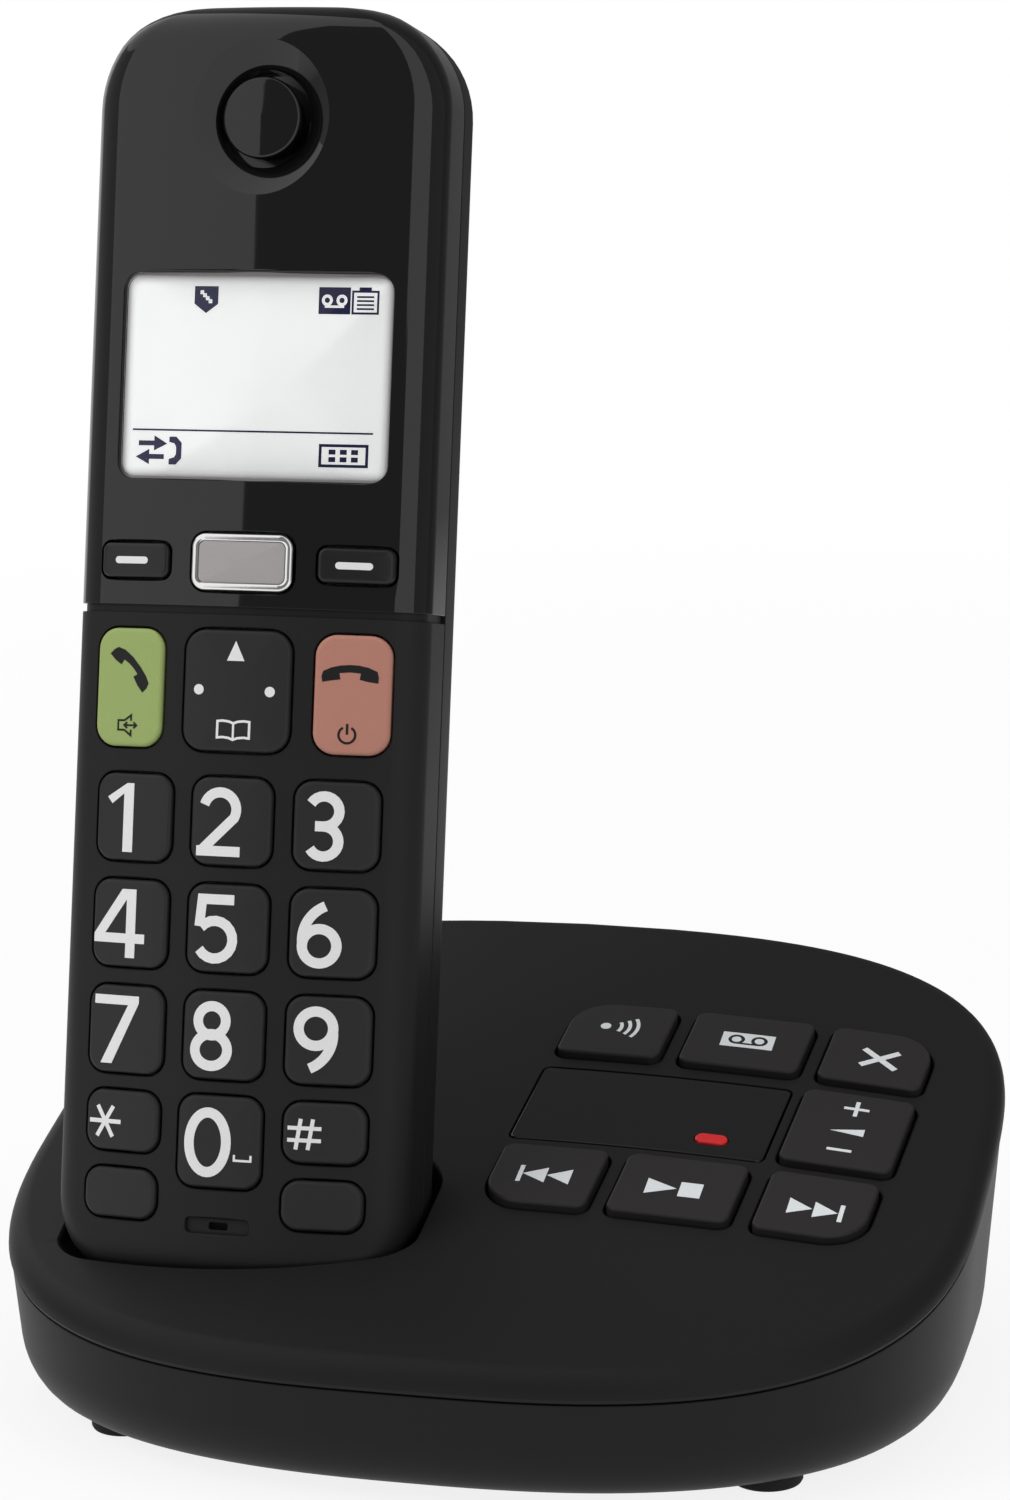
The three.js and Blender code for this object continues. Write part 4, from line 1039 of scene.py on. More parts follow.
# The object's own sub-assemblies


class Assembly:
    """What every sub-assembly does with a finished piece."""

    @staticmethod
    def keep(piece: Piece, name: str, body: str, finish: Finish, replaces: Sequence[str] = (),
             slot: str = "", sharp_deg: float = 32.0) -> None:
        """Names a piece, dresses it and lets it ride on its body.

        Args:
            piece: The object, in millimetres of the base's frame.
            name: Its name.
            body: The body it rides on.
            finish: Its finish.
            replaces: Nodes it stands for.
            slot: The material slot it takes its finish from, where that isn't the finish's own name; not
                used.
            sharp_deg: The angle past which an edge shows as sharp.
        """
        piece.name = name
        piece.data.transform(Matrix.Scale(MM, 4))
        piece.data.shade_smooth()
        piece.data.set_sharp_from_angle(angle=math.radians(sharp_deg))
        piece.modifiers.new("normals", "WEIGHTED_NORMAL").keep_sharp = True
        applied(piece).data.name = name
        piece.data.materials.clear()
        piece.data.materials.append(Palette.of(finish))
        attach(piece, body)
        if replaces:
            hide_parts(*replaces)
        LOG.info("%s rides on %s, %d faces", name, body, len(piece.data.polygons))

    def printed(self, mark: Mark, name: str, body: str, ink: Plastic, slot: str, surface: Height,
                place: Matrix, step: float = 0.7) -> None:
        """Lays a mark on a surface and keeps it.

        Args:
            mark: The mark.
            name: The piece's name.
            body: The body it rides on.
            ink: Its finish.
            slot: The material slot it takes that from.
            surface: Height of the surface.
            place: Where to bring it.
            step: How finely it bends to the surface across it.
        """
        self.keep(mark.laid(name, surface, place, step), name, body, ink, slot=slot, sharp_deg=50.0)


@dataclass(frozen=True)
class Screw:
    """A screw with its head down and a cross recess in the head."""

    radius: float
    head: float
    head_height: float
    length: float
    head_profile: tuple[Flat, ...] = ((0.0, 0.0), (0.55, 0.0), (0.85, 0.15), (1.0, 0.5), (1.0, 1.0))
    tip_share: float = 0.25
    recess_reach: float = 0.55
    recess_half: float = 0.13
    recess_depth: float = 0.6

    def made(self, x: float, y: float, level: float) -> Piece:
        """Builds the screw.

        Args:
            x: Its place.
            y: Its place.
            level: Height of the head's upper side.

        Returns:
            The screw.
        """
        low, tip = level - self.head_height, level + self.length
        profile = [(self.head * out, low + self.head_height * up) for out, up in self.head_profile]
        profile += [(self.radius, level), (self.radius, tip - self.radius),
                    (self.radius * self.tip_share, tip), (0.0, tip)]
        piece = turned("screw", profile, x, y, 32)
        reach, half = self.head * self.recess_reach, self.head * self.recess_half
        height = (low - TOOL_REACH, low + self.head_height * self.recess_depth)
        cross = block((x - reach, x + reach), (y - half, y + half), height)
        work(cross, [block((x - half, x + half), (y - reach, y + reach), height)], Cut.JOIN)
        return work(piece, [cross])


@dataclass(frozen=True)
class Hull:
    """A long body of handset form, seen along its length: its sizes across and its four corners."""

    half: float
    front: float
    back: float
    front_corner: float
    back_corner: float
    face_radius: float
    back_radius: float
    corner_steps: int = 8
    face_steps: int = 72
    back_steps: int = 20
    end_steps: int = 14

    def ring(self, height: Callable[[float, float], float], slimmer: float = 0.0,
             thinner: float = 0.0) -> list[Vector]:
        """One ring round the body.

        Args:
            height: The height along the body, from the place across and the depth.
            slimmer: How much less the half width is.
            thinner: How much less it is at the front and at the back.

        Returns:
            One place for each point.
        """
        outline: list[Flat] = []
        half, front, back = self.half - slimmer, self.front + thinner, self.back - thinner

        def corner(x: float, depth: float, radius: float, start: float) -> None:
            """Adds a rounded corner."""
            for share in range(self.corner_steps + 1):
                angle = start + share / self.corner_steps * math.pi / 2
                outline.append((x + radius * math.cos(angle), depth + radius * math.sin(angle)))

        def straight(depth: float, start: float, end: float, steps: int) -> None:
            """Adds a straight stretch without its ends."""
            outline.extend((start + (end - start) * step / steps, depth) for step in range(1, steps))

        near, far = self.front_corner, self.back_corner
        corner(-half + near, front + near, near, math.pi)
        straight(front, -half + near, half - near, self.face_steps)
        corner(half - near, front + near, near, -math.pi / 2)
        corner(half - far, back - far, far, 0.0)
        straight(back, half - far, -half + far, self.back_steps)
        corner(-half + far, back - far, far, math.pi / 2)
        ring = []
        for x, depth in outline:
            share = (depth - front) / (back - front)
            crowned = (depth + x * x / (2 * self.face_radius) * (1 - share)
                       - x * x / (2 * self.back_radius) * share)
            ring.append(Vector((x, height(x, crowned), -crowned)))
        return ring

    def end(self, tip: float, corner: float, edge: float, way: int) -> list[list[Vector]]:
        """The rings of a rounded end.

        Args:
            tip: Where the flat tip lies along the body.
            corner: Radius of the end's corners, seen from the face.
            edge: How far the face and the back round towards the tip.
            way: The way from the tip to the body, up or down.

        Returns:
            The rings, from the tip to the straight body.
        """
        rings = []
        for angle in quarter(self.end_steps):
            rise = corner * (1 - math.cos(angle))
            left = max(edge - rise, 0.0)
            drop = edge - math.sqrt(edge * edge - left * left)
            rings.append(self.ring(at(tip + way * rise), corner * (1 - math.sin(angle)), drop))
        return rings


@dataclass
class Handset(Assembly):
    """The cordless handset, in its face frame: x right, y up the face, z out of the face."""

    origin: tuple[float, float, float] = (-31.75, -22.7, 86.5)
    lean_deg: float = 12.4
    width: float = 52.0
    thickness: float = 26.0
    top: float = 115.0
    bottom: float = -66.0
    top_corner: float = 14.5
    bottom_corner: float = 12.0
    end_edge: float = 6.0
    face_radius: float = 77.0
    back_radius: float = 220.0
    front_edge: float = 4.0
    back_edge: float = 9.0
    least_share: float = 0.25
    wall: float = 2.0
    parting: float = 13.8
    gap: float = 0.3
    split: float = 29.5
    groove: float = 1.1
    groove_depth: float = 0.6
    soft_edge: float = 0.2
    sharp_deg: float = 60.0
    cut_floor: float = -8.0
    band_lap: float = 1.5
    key_gap: float = 0.28
    key_rise: float = 0.6
    key_edge: float = 0.6
    key_seat: float = 2.2
    hole_rim: float = 0.18
    column: float = 14.9
    row: float = 15.0
    digit: Rounded = Rounded(11.8, 12.3, 2.5)
    side_key: Rounded = Rounded(11.5, 8.5, 2.5)
    side_key_y: float = -42.9
    nought: Rounded = Rounded(12.3, 12.9, 2.5)
    nought_y: float = -44.9
    lower_key: Rounded = Rounded(11.3, 7.0, 2.5)
    lower_key_y: float = -53.1
    rocker: Rounded = Rounded(15.6, 17.0, 3.0)
    call_key: Rounded = Rounded(10.5, 16.7, 3.0)
    call_x: float = 16.4
    call_y: float = 18.3
    soft_key: Rounded = Rounded(10.7, 4.9, 1.2)
    soft_x: float = 16.3
    soft_y: float = 36.3
    plated: Rounded = Rounded(14.9, 8.0, 2.0)
    plated_edge: float = 0.45
    plated_rim: float = 1.05
    plated_drop: float = 0.5
    insert: Rounded = Rounded(12.7, 5.8, 0.9)
    insert_drop: float = 0.12
    insert_edge: float = 0.15
    insert_seat: float = -0.02
    dash_x: Flat = (-16.8, 16.1)
    mouth_y: float = -56.8
    mouth: Rounded = Rounded(2.8, 1.1, 0.3)
    mouth_recess: Rounded = Rounded(9.3, 2.1, 0.6)
    mouth_floor: float = -0.8
    ear_y: float = 98.8
    ear_steps: int = 96
    ear_boss: tuple[Flat, ...] = ((0.0, -5.4), (12.6, -5.4), (12.6, -1.2), (0.0, -1.2))
    ear_dish: tuple[Flat, ...] = ((0.0, -9.0), (6.9, -9.0), (6.9, -2.75), (7.05, -2.6), (7.6, -2.3),
                                  (9.3, -1.2), (11.0, 0.0), (14.0, 2.2), (0.0, 2.2))
    disc_radius: float = 5.8
    disc_skirt: float = 8.0
    disc_flange: float = 1.0
    disc_floor: float = -5.7
    disc_edge: float = 0.6
    disc_top: float = -0.85
    disc_crown: float = 0.12
    window_y: float = 62.5
    window_width: float = 39.8
    window_height: float = 29.1
    window_radius: float = 2.5
    window_rim: float = 0.25
    lens_recess: float = 0.2
    lens_edge: float = 0.25
    lens_floor: float = -3.1
    glass: Rounded = Rounded(39.2, 28.5, 2.2)
    glass_level: float = -3.47
    glass_thickness: float = 2.4
    glass_seat: float = 0.3
    frame: Rounded = Rounded(43.4, 34.0, 2.5)
    frame_floor: float = -8.6
    # The panel's white, the painted shade at its edges, the width of that shaded band and its painted glow
    panel_colour: Colour = (0.87, 0.885, 0.875)
    panel_painted_shade: Colour = (0.30, 0.29, 0.29)
    panel_edge: float = 1.5
    panel_painted_glow: float = 0.42
    door_width: float = 31.0
    door_top: float = 20.0
    door_bottom: float = -35.5
    door_corner: float = 3.0
    door_wall: float = 1.6
    ledge: float = 1.6
    rib_count: int = 5
    rib_y: float = 12.9
    rib_pitch: float = 1.7
    rib_length: float = 13.0
    rib_taper: float = 1.2
    rib_width: float = 0.8
    rib_corner: float = 0.39
    rib_rise: float = 0.3
    rib_edge: float = 0.25
    rib_seat: float = 0.4
    bay_y: float = -8.0
    bay_half_width: float = 11.15
    bay_half_length: float = 23.85
    bay_depth: float = 12.35
    bay_wall: float = 1.5
    screw_x: float = 5.9
    screw_y: float = -55.2
    screw_level: float = -22.4
    screw: Screw = Screw(1.1, 2.2, 1.4, 16.0)
    screw_well: Rounded = Rounded(5.0, 5.0, 2.5)
    screw_well_rim: float = 0.3
    pad_x: float = 9.0
    pad_depth: float = 16.8
    pad_half: Flat = (2.8, 1.9)
    pad_sink: float = 1.0
    vent_count: int = 5
    vent_pitch: float = 3.4
    vent_y: float = 92.0
    vent_width: float = 1.3
    vent_length: float = 9.0
    vent_taper: float = 1.6

    def __post_init__(self) -> None:
        """Works out where the face frame lies."""
        tilt = Matrix.Rotation(math.pi / 2 - math.radians(self.lean_deg), 4, "X")
        self.place = Matrix.Translation(self.origin) @ tilt

    def face(self, x: float, y: float) -> float:
        """Height of the crowned face."""
        return -x * x / (2 * self.face_radius)

    def rear(self, x: float, y: float) -> float:
        """Height of the crowned back."""
        return x * x / (2 * self.back_radius) - self.thickness

    def body(self, inset: float = 0.0) -> bmesh.types.BMesh:
        """The whole closed body, drawn in by an inset."""
        def inner(radius: float) -> float:
            """A radius that is left after the inset."""
            return max(radius - inset, radius * self.least_share)

        hull = Hull(self.width / 2 - inset, inset, self.thickness - inset, inner(self.front_edge),
                    inner(self.back_edge), self.face_radius, self.back_radius)
        foot = hull.end(self.bottom + inset, inner(self.bottom_corner), inner(self.end_edge), 1)
        top = hull.end(self.top - inset, inner(self.top_corner), inner(self.end_edge), -1)
        return Loft(foot[0]).rings(foot[1:]).rings(reversed(top)).cap().outward()

    def shell(self, name: str, inset: float, wall: float, edge: float,
              *planes: tuple[int, float, int]) -> Piece:
        """A slice of the body as a shell with a wall and softened rims.

        Args:
            name: The object's name.
            inset: How far under the outside it lies.
            wall: Its wall.
            edge: How wide its rims are rounded.
            *planes: The planes that slice it: an axis, a place on it and the side that stays.

        Returns:
            The shell, in the face frame.
        """
        mesh = self.body(inset)
        for axis, place, side in planes:
            normal = Vector((0.0, 0.0, 0.0))
            normal[axis] = float(side)
            everything = list(mesh.verts) + list(mesh.edges) + list(mesh.faces)
            bmesh.ops.bisect_plane(mesh, geom=everything, plane_co=normal * place * side, plane_no=normal,
                                   clear_inner=True)
        bmesh.ops.solidify(mesh, geom=list(mesh.faces), thickness=wall)
        piece = solid(name, mesh)
        return softened(piece, edge, self.sharp_deg) if edge else piece

    def key(self, name: str, size: Rounded, x: float, y: float) -> Pad:
        """A key of the handset."""
        return Pad(name, size.placed(x, y), self.key_rise, self.key_edge, self.key_seat)

    def dial_keys(self) -> list[Pad]:
        """The keys in the lower front shell that are moulded in the shell's black."""
        digits = [self.key(f"key_{number + 1}", self.digit, (number % 3 - 1) * self.column,
                           -(number // 3) * self.row) for number in range(9)]
        return digits + [
            self.key("key_star", self.side_key, -self.column, self.side_key_y),
            self.key("key_0", self.nought, 0.0, self.nought_y),
            self.key("key_hash", self.side_key, self.column, self.side_key_y),
            self.key("lower_left_key", self.lower_key, -self.column, self.lower_key_y),
            self.key("lower_right_key", self.lower_key, self.column, self.lower_key_y),
            self.key("navigation_key", self.rocker, 0.0, self.call_y),
        ]

    def call_keys(self) -> list[Pad]:
        """The green and the red key."""
        return [self.key("talk_key", self.call_key, -self.call_x, self.call_y),
                self.key("end_key", self.call_key, self.call_x, self.call_y)]

    def soft_keys(self) -> list[Pad]:
        """The two flat keys under the display."""
        return [self.key("soft_key_left", self.soft_key, -self.soft_x, self.soft_y),
                self.key("soft_key_right", self.soft_key, self.soft_x, self.soft_y)]

    def message_key(self) -> Pad:
        """The key with the plated rim."""
        return Pad("message_key", self.plated.placed(0.0, self.soft_y), self.key_rise, self.plated_edge,
                   self.key_seat, turn_steps=7)

    def hole(self, key: Pad) -> Piece:
        """The tool that cuts a key's hole."""
        return hole_tool(key.outline, self.key_gap, self.hole_rim, self.cut_floor, self.face)

    def door_outline(self, grow: float = 0.0) -> Outline:
        """The battery door's outline, grown outwards with its corners kept."""
        middle, length = (self.door_top + self.door_bottom) / 2, self.door_top - self.door_bottom
        return Outline(0.0, middle, self.door_width + 2 * grow, length + 2 * grow, even(self.door_corner))

    def fitted(self, piece: Piece, name: str, body: str, finish: Finish,
               replaces: Sequence[str] = ()) -> None:
        """Brings a piece from the face frame into place and keeps it."""
        piece.data.transform(self.place)
        self.keep(piece, name, body, finish, replaces)

    def build(self) -> None:
        """Builds every visible piece of the handset."""
        self.build_lower_front()
        self.build_upper_front()
        self.build_earpiece()
        self.build_display()
        self.build_keys()
        self.build_marks()
        self.build_back()
        self.build_door()
        self.build_screws()

    def build_lower_front(self) -> None:
        """Builds the matte front shell and the band in the groove above it."""
        seam = -self.parting + self.gap / 2
        low, high = self.split - self.groove / 2, self.split + self.groove / 2
        shell = self.shell("lower", 0.0, self.wall, self.soft_edge, (2, seam, 1), (1, low, -1))
        recess = hole_tool(self.mouth_recess.placed(0.0, self.mouth_y), 0.0, self.window_rim,
                           self.mouth_floor, self.face)
        mouth = prism(self.mouth.placed(0.0, self.mouth_y), -TOOL_REACH, TOOL_REACH)
        work(shell, [self.hole(key) for key in self.dial_keys() + self.call_keys()] + [recess, mouth])
        self.fitted(shell, "handset_lower_skin", "handset", Palette.handset_plastic, ["handset_lower_front"])
        band = self.shell("band", self.groove_depth, self.wall - self.groove_depth, 0.0,
                          (2, seam, 1), (1, low - self.band_lap, 1), (1, high + self.band_lap, -1))
        self.fitted(band, "handset_groove_band", "handset", Palette.handset_plastic)

    def build_upper_front(self) -> None:
        """Builds the gloss front shell with the display window and the earpiece dish."""
        seam = -self.parting + self.gap / 2
        shell = self.shell("upper", 0.0, self.wall, self.soft_edge, (2, seam, 1),
                           (1, self.split + self.groove / 2, 1))
        window = hole_tool(self.window(), 0.0, self.window_rim, self.cut_floor, self.face)
        work(shell, [self.hole(key) for key in self.soft_keys() + [self.message_key()]] + [window])
        work(shell, [turned("boss", self.ear_boss, 0.0, self.ear_y, self.ear_steps)], Cut.JOIN)
        work(shell, [turned("dish", self.ear_dish, 0.0, self.ear_y, self.ear_steps)])
        self.fitted(shell, "handset_upper_skin", "handset", Palette.gloss_black, ["handset_upper_front"])

    def build_earpiece(self) -> None:
        """Builds the crowned disc in the earpiece's dish."""
        disc, skirt = (Outline(0.0, self.ear_y, 2 * radius, 2 * radius, even(radius), 16)
                       for radius in (self.disc_radius, self.disc_skirt))
        floor, edge, top = self.disc_floor, self.disc_edge, self.disc_top
        loft = Loft(skirt.ring(0.0, at(floor - self.disc_flange)))
        loft.ring(skirt.ring(0.0, at(floor))).ring(disc.ring(0.0, at(floor)))
        for angle in quarter(6):
            lift = top - edge * (1 - math.sin(angle))
            loft.ring(disc.ring(edge * (math.cos(angle) - 1), self.face, lift))
        for share in (0.85, 0.7, 0.55, 0.4, 0.25, 0.1):
            loft.ring(disc.ring(-edge, self.face, top + self.disc_crown * (1 - share), share))
        piece = solid("disc", loft.pole(Vector((0.0, self.ear_y, top + self.disc_crown))).mesh)
        self.fitted(piece, "earpiece_dome", "handset", Palette.gloss_black, ["earpiece_disc"])

    def window(self) -> Outline:
        """The display window's outline."""
        return Outline(0.0, self.window_y, self.window_width, self.window_height, even(self.window_radius))

    def build_display(self) -> None:
        """Builds the lens, the panel with its painted glow and painted edge shade, and its segments."""
        window, edge, level = self.window(), self.lens_edge, -self.lens_recess
        loft = Loft(window.ring(-self.gap, at(self.lens_floor)))
        loft.ring(window.ring(-self.gap, self.face, level - edge))
        loft.ring(window.ring(-self.gap - edge / 3, self.face, level - edge / 3))
        for share in (1.0, 0.8, 0.6, 0.4, 0.2):
            loft.ring(window.ring(-self.gap - edge, self.face, level, share))
        lens = solid("lens", loft.pole(Vector((0.0, window.y, level))).mesh)
        self.fitted(lens, "display_lens_clear", "handset", Palette.lens, ["display_lens"])

        middle = self.place @ Vector((0.0, window.y, self.glass_level)) * MM
        up = self.place.to_3x3() @ Vector((0.0, 1.0, 0.0))
        # The panel's finish: a painted glow, and painted shade towards its edges
        lit = PaintedLightPanel("display_panel", self.panel_colour, self.panel_painted_shade, tuple(middle), tuple(up),
                       (window.width / 2 - self.gap) * MM, (window.height / 2 - self.gap) * MM,
                       self.panel_edge * MM, self.panel_painted_glow)
        seat = self.glass_level - self.glass_thickness
        glass = prism(self.glass.placed(0.0, window.y), seat - self.glass_seat, self.glass_level)
        work(glass, [prism(self.frame.placed(0.0, window.y), self.frame_floor, seat)], Cut.JOIN)
        self.fitted(glass, "display_glass", "handset", lit, ["display_module"])
        segments = Glyphs.display().laid("segments", at(self.glass_level), self.place, window.width)
        self.keep(segments, "display_segments", "handset", Palette.navy_ink, slot="display_panel")

    def build_keys(self) -> None:
        """Builds the caps of the keys and the insert of the message key."""
        caps = [(key, Palette.handset_key, "handset_key") for key in self.dial_keys()]
        caps += [(key, finish, finish.name)
                 for key, finish in zip(self.call_keys(), (Palette.green_key, Palette.red_key))]
        caps += [(key, Palette.soft_key, "gloss_black") for key in self.soft_keys()]
        for key, finish, slot in caps:
            self.keep(key.closed(self.face, self.place), key.name + "_cap", key.name, finish, [key.name],
                      slot=slot)
        key = self.message_key()
        rim = key.rim(self.face, self.place, self.plated_rim, self.plated_drop)
        self.keep(rim, "message_key_rim", key.name, Palette.chrome, [key.name], slot="silver_key")
        plate = Pad("insert", self.insert.placed(0.0, self.soft_y), self.key_rise - self.insert_drop,
                    self.insert_edge, self.insert_seat)
        self.keep(plate.closed(self.face, self.place), "message_key_insert", key.name, Palette.insert,
                  slot="silver_key")

    def build_marks(self) -> None:
        """Lays the figures and symbols on the keys."""
        places = {key.name: key.outline for key in self.dial_keys()}
        marks = {f"key_{figure}": Glyphs.figure(figure) for figure in "1234567890"}
        marks |= {"key_star": Glyphs.star(), "key_hash": Glyphs.hash_sign()}
        for name, mark in marks.items():
            there = mark.moved(places[name].x, places[name].y)
            self.mark(there, name + "_figure", name, Palette.white_ink, "handset_key")
        space = Glyphs.space().moved(places["key_0"].x, places["key_0"].y)
        self.mark(space, "key_0_space", "key_0", Palette.white_ink, "handset_key")
        self.mark(Glyphs.navigation(), "navigation_symbols", "navigation_key", Palette.white_ink,
                  "handset_key")
        self.mark(Glyphs.talk(), "talk_symbols", "talk_key", Palette.black_ink, "green_key")
        self.mark(Glyphs.end(), "end_symbols", "end_key", Palette.black_ink, "red_key")
        for key, x in zip(self.soft_keys(), self.dash_x):
            self.mark(Glyphs.dash(x), key.name + "_dash", key.name, Palette.white_ink, "gloss_black")

    def mark(self, mark: Mark, name: str, body: str, ink: Plastic, slot: str) -> None:
        """Lays one mark on the top of its key."""
        self.printed(mark, name, body, ink, slot, lambda x, y: self.face(x, y) + self.key_rise, self.place)

    def build_back(self) -> None:
        """Builds the back shell with its battery bay, screw wells and pad recesses."""
        shell = self.shell("back", 0.0, self.wall, self.soft_edge, (2, -self.parting - self.gap / 2, -1))
        under, gap, floor = self.door_wall + self.gap, self.gap, -self.thickness - TOOL_REACH
        doorway = prism(self.door_outline(gap), floor, -self.thickness / 2)
        work(shell, [work(doorway, [solid("under", self.body(under))])])
        ledge_top = self.thickness - under
        inner = prism(self.door_outline(self.ledge), -ledge_top, -ledge_top + self.ledge + gap)
        wide, long = self.bay_half_width + self.bay_wall, self.bay_half_length + self.bay_wall
        tray = block((-wide, wide), (self.bay_y - long, self.bay_y + long),
                     (-ledge_top, -self.bay_depth + self.bay_wall))
        work(inner, [tray], Cut.JOIN)
        work(inner, [solid("under", self.body(under))], Cut.KEEP)
        work(shell, [inner], Cut.JOIN)
        wide, long = self.bay_half_width, self.bay_half_length
        tools = [block((-wide, wide), (self.bay_y - long, self.bay_y + long), (floor, -self.bay_depth))]
        wide, deep = self.pad_half
        for side in (-1, 1):
            well = self.screw_well.placed(side * self.screw_x, self.screw_y)
            tools.append(hole_tool(well, 0.0, self.screw_well_rim, self.screw_level + gap, self.rear,
                                   side=Side.BACK))
            tools.append(block((side * self.pad_x - wide, side * self.pad_x + wide),
                               (self.bottom - TOOL_REACH, self.bottom + self.pad_sink),
                               (-self.pad_depth - deep, -self.pad_depth + deep)))
        for index in range(self.vent_count):
            column = index - self.vent_count // 2
            length = self.vent_length - abs(column) * self.vent_taper
            vent = Rounded(self.vent_width, length, self.vent_width / 2)
            tools.append(hole_tool(vent.placed(column * self.vent_pitch, self.vent_y), 0.0, self.soft_edge,
                                   -self.thickness + 2 * self.wall, self.rear, side=Side.BACK))
        work(shell, tools)
        self.fitted(shell, "handset_back_skin", "handset", Palette.handset_plastic, ["handset_back_shell"])

    def build_door(self) -> None:
        """Builds the battery door with its thumb ribs."""
        door = solid("door", self.body())
        work(door, [solid("under", self.body(self.door_wall))])
        work(door, [prism(self.door_outline(), -self.thickness - TOOL_REACH, -self.thickness / 2)], Cut.KEEP)
        softened(door, self.soft_edge, self.sharp_deg)
        ribs = []
        for index in range(self.rib_count):
            row = index - self.rib_count // 2
            length = self.rib_length - self.rib_taper * abs(row)
            outline = Outline(0.0, self.rib_y + self.rib_pitch * row, length, self.rib_width,
                              even(self.rib_corner), 4)
            rib = Pad("rib", outline, self.rib_rise, self.rib_edge, self.rib_seat, Side.BACK, 3)
            ribs.append(rib.closed(self.rear, Matrix.Identity(4)))
        work(door, ribs, Cut.JOIN)
        self.fitted(door, "battery_door_skin", "battery_door", Palette.handset_plastic, ["battery_door"])

    def build_screws(self) -> None:
        """Builds the two screws in the back."""
        for side, word in ((-1, "left"), (1, "right")):
            piece = self.screw.made(side * self.screw_x, self.screw_y, self.screw_level)
            self.fitted(piece, f"handset_screw_{word}_cross", "handset", Palette.steel,
                        [f"handset_screw_{word}"])


@dataclass(frozen=True)
class Socket:
    """A cord socket in the base's back wall: its place, its widths and its contacts."""

    name: str
    x: float
    width: float
    mouth: float
    pins: tuple[float, ...]
    pin_half: float
    latch_half: float = 0.0

    def across(self, half: float) -> Flat:
        """The limits of a stretch about its middle."""
        return (self.x - half, self.x + half)


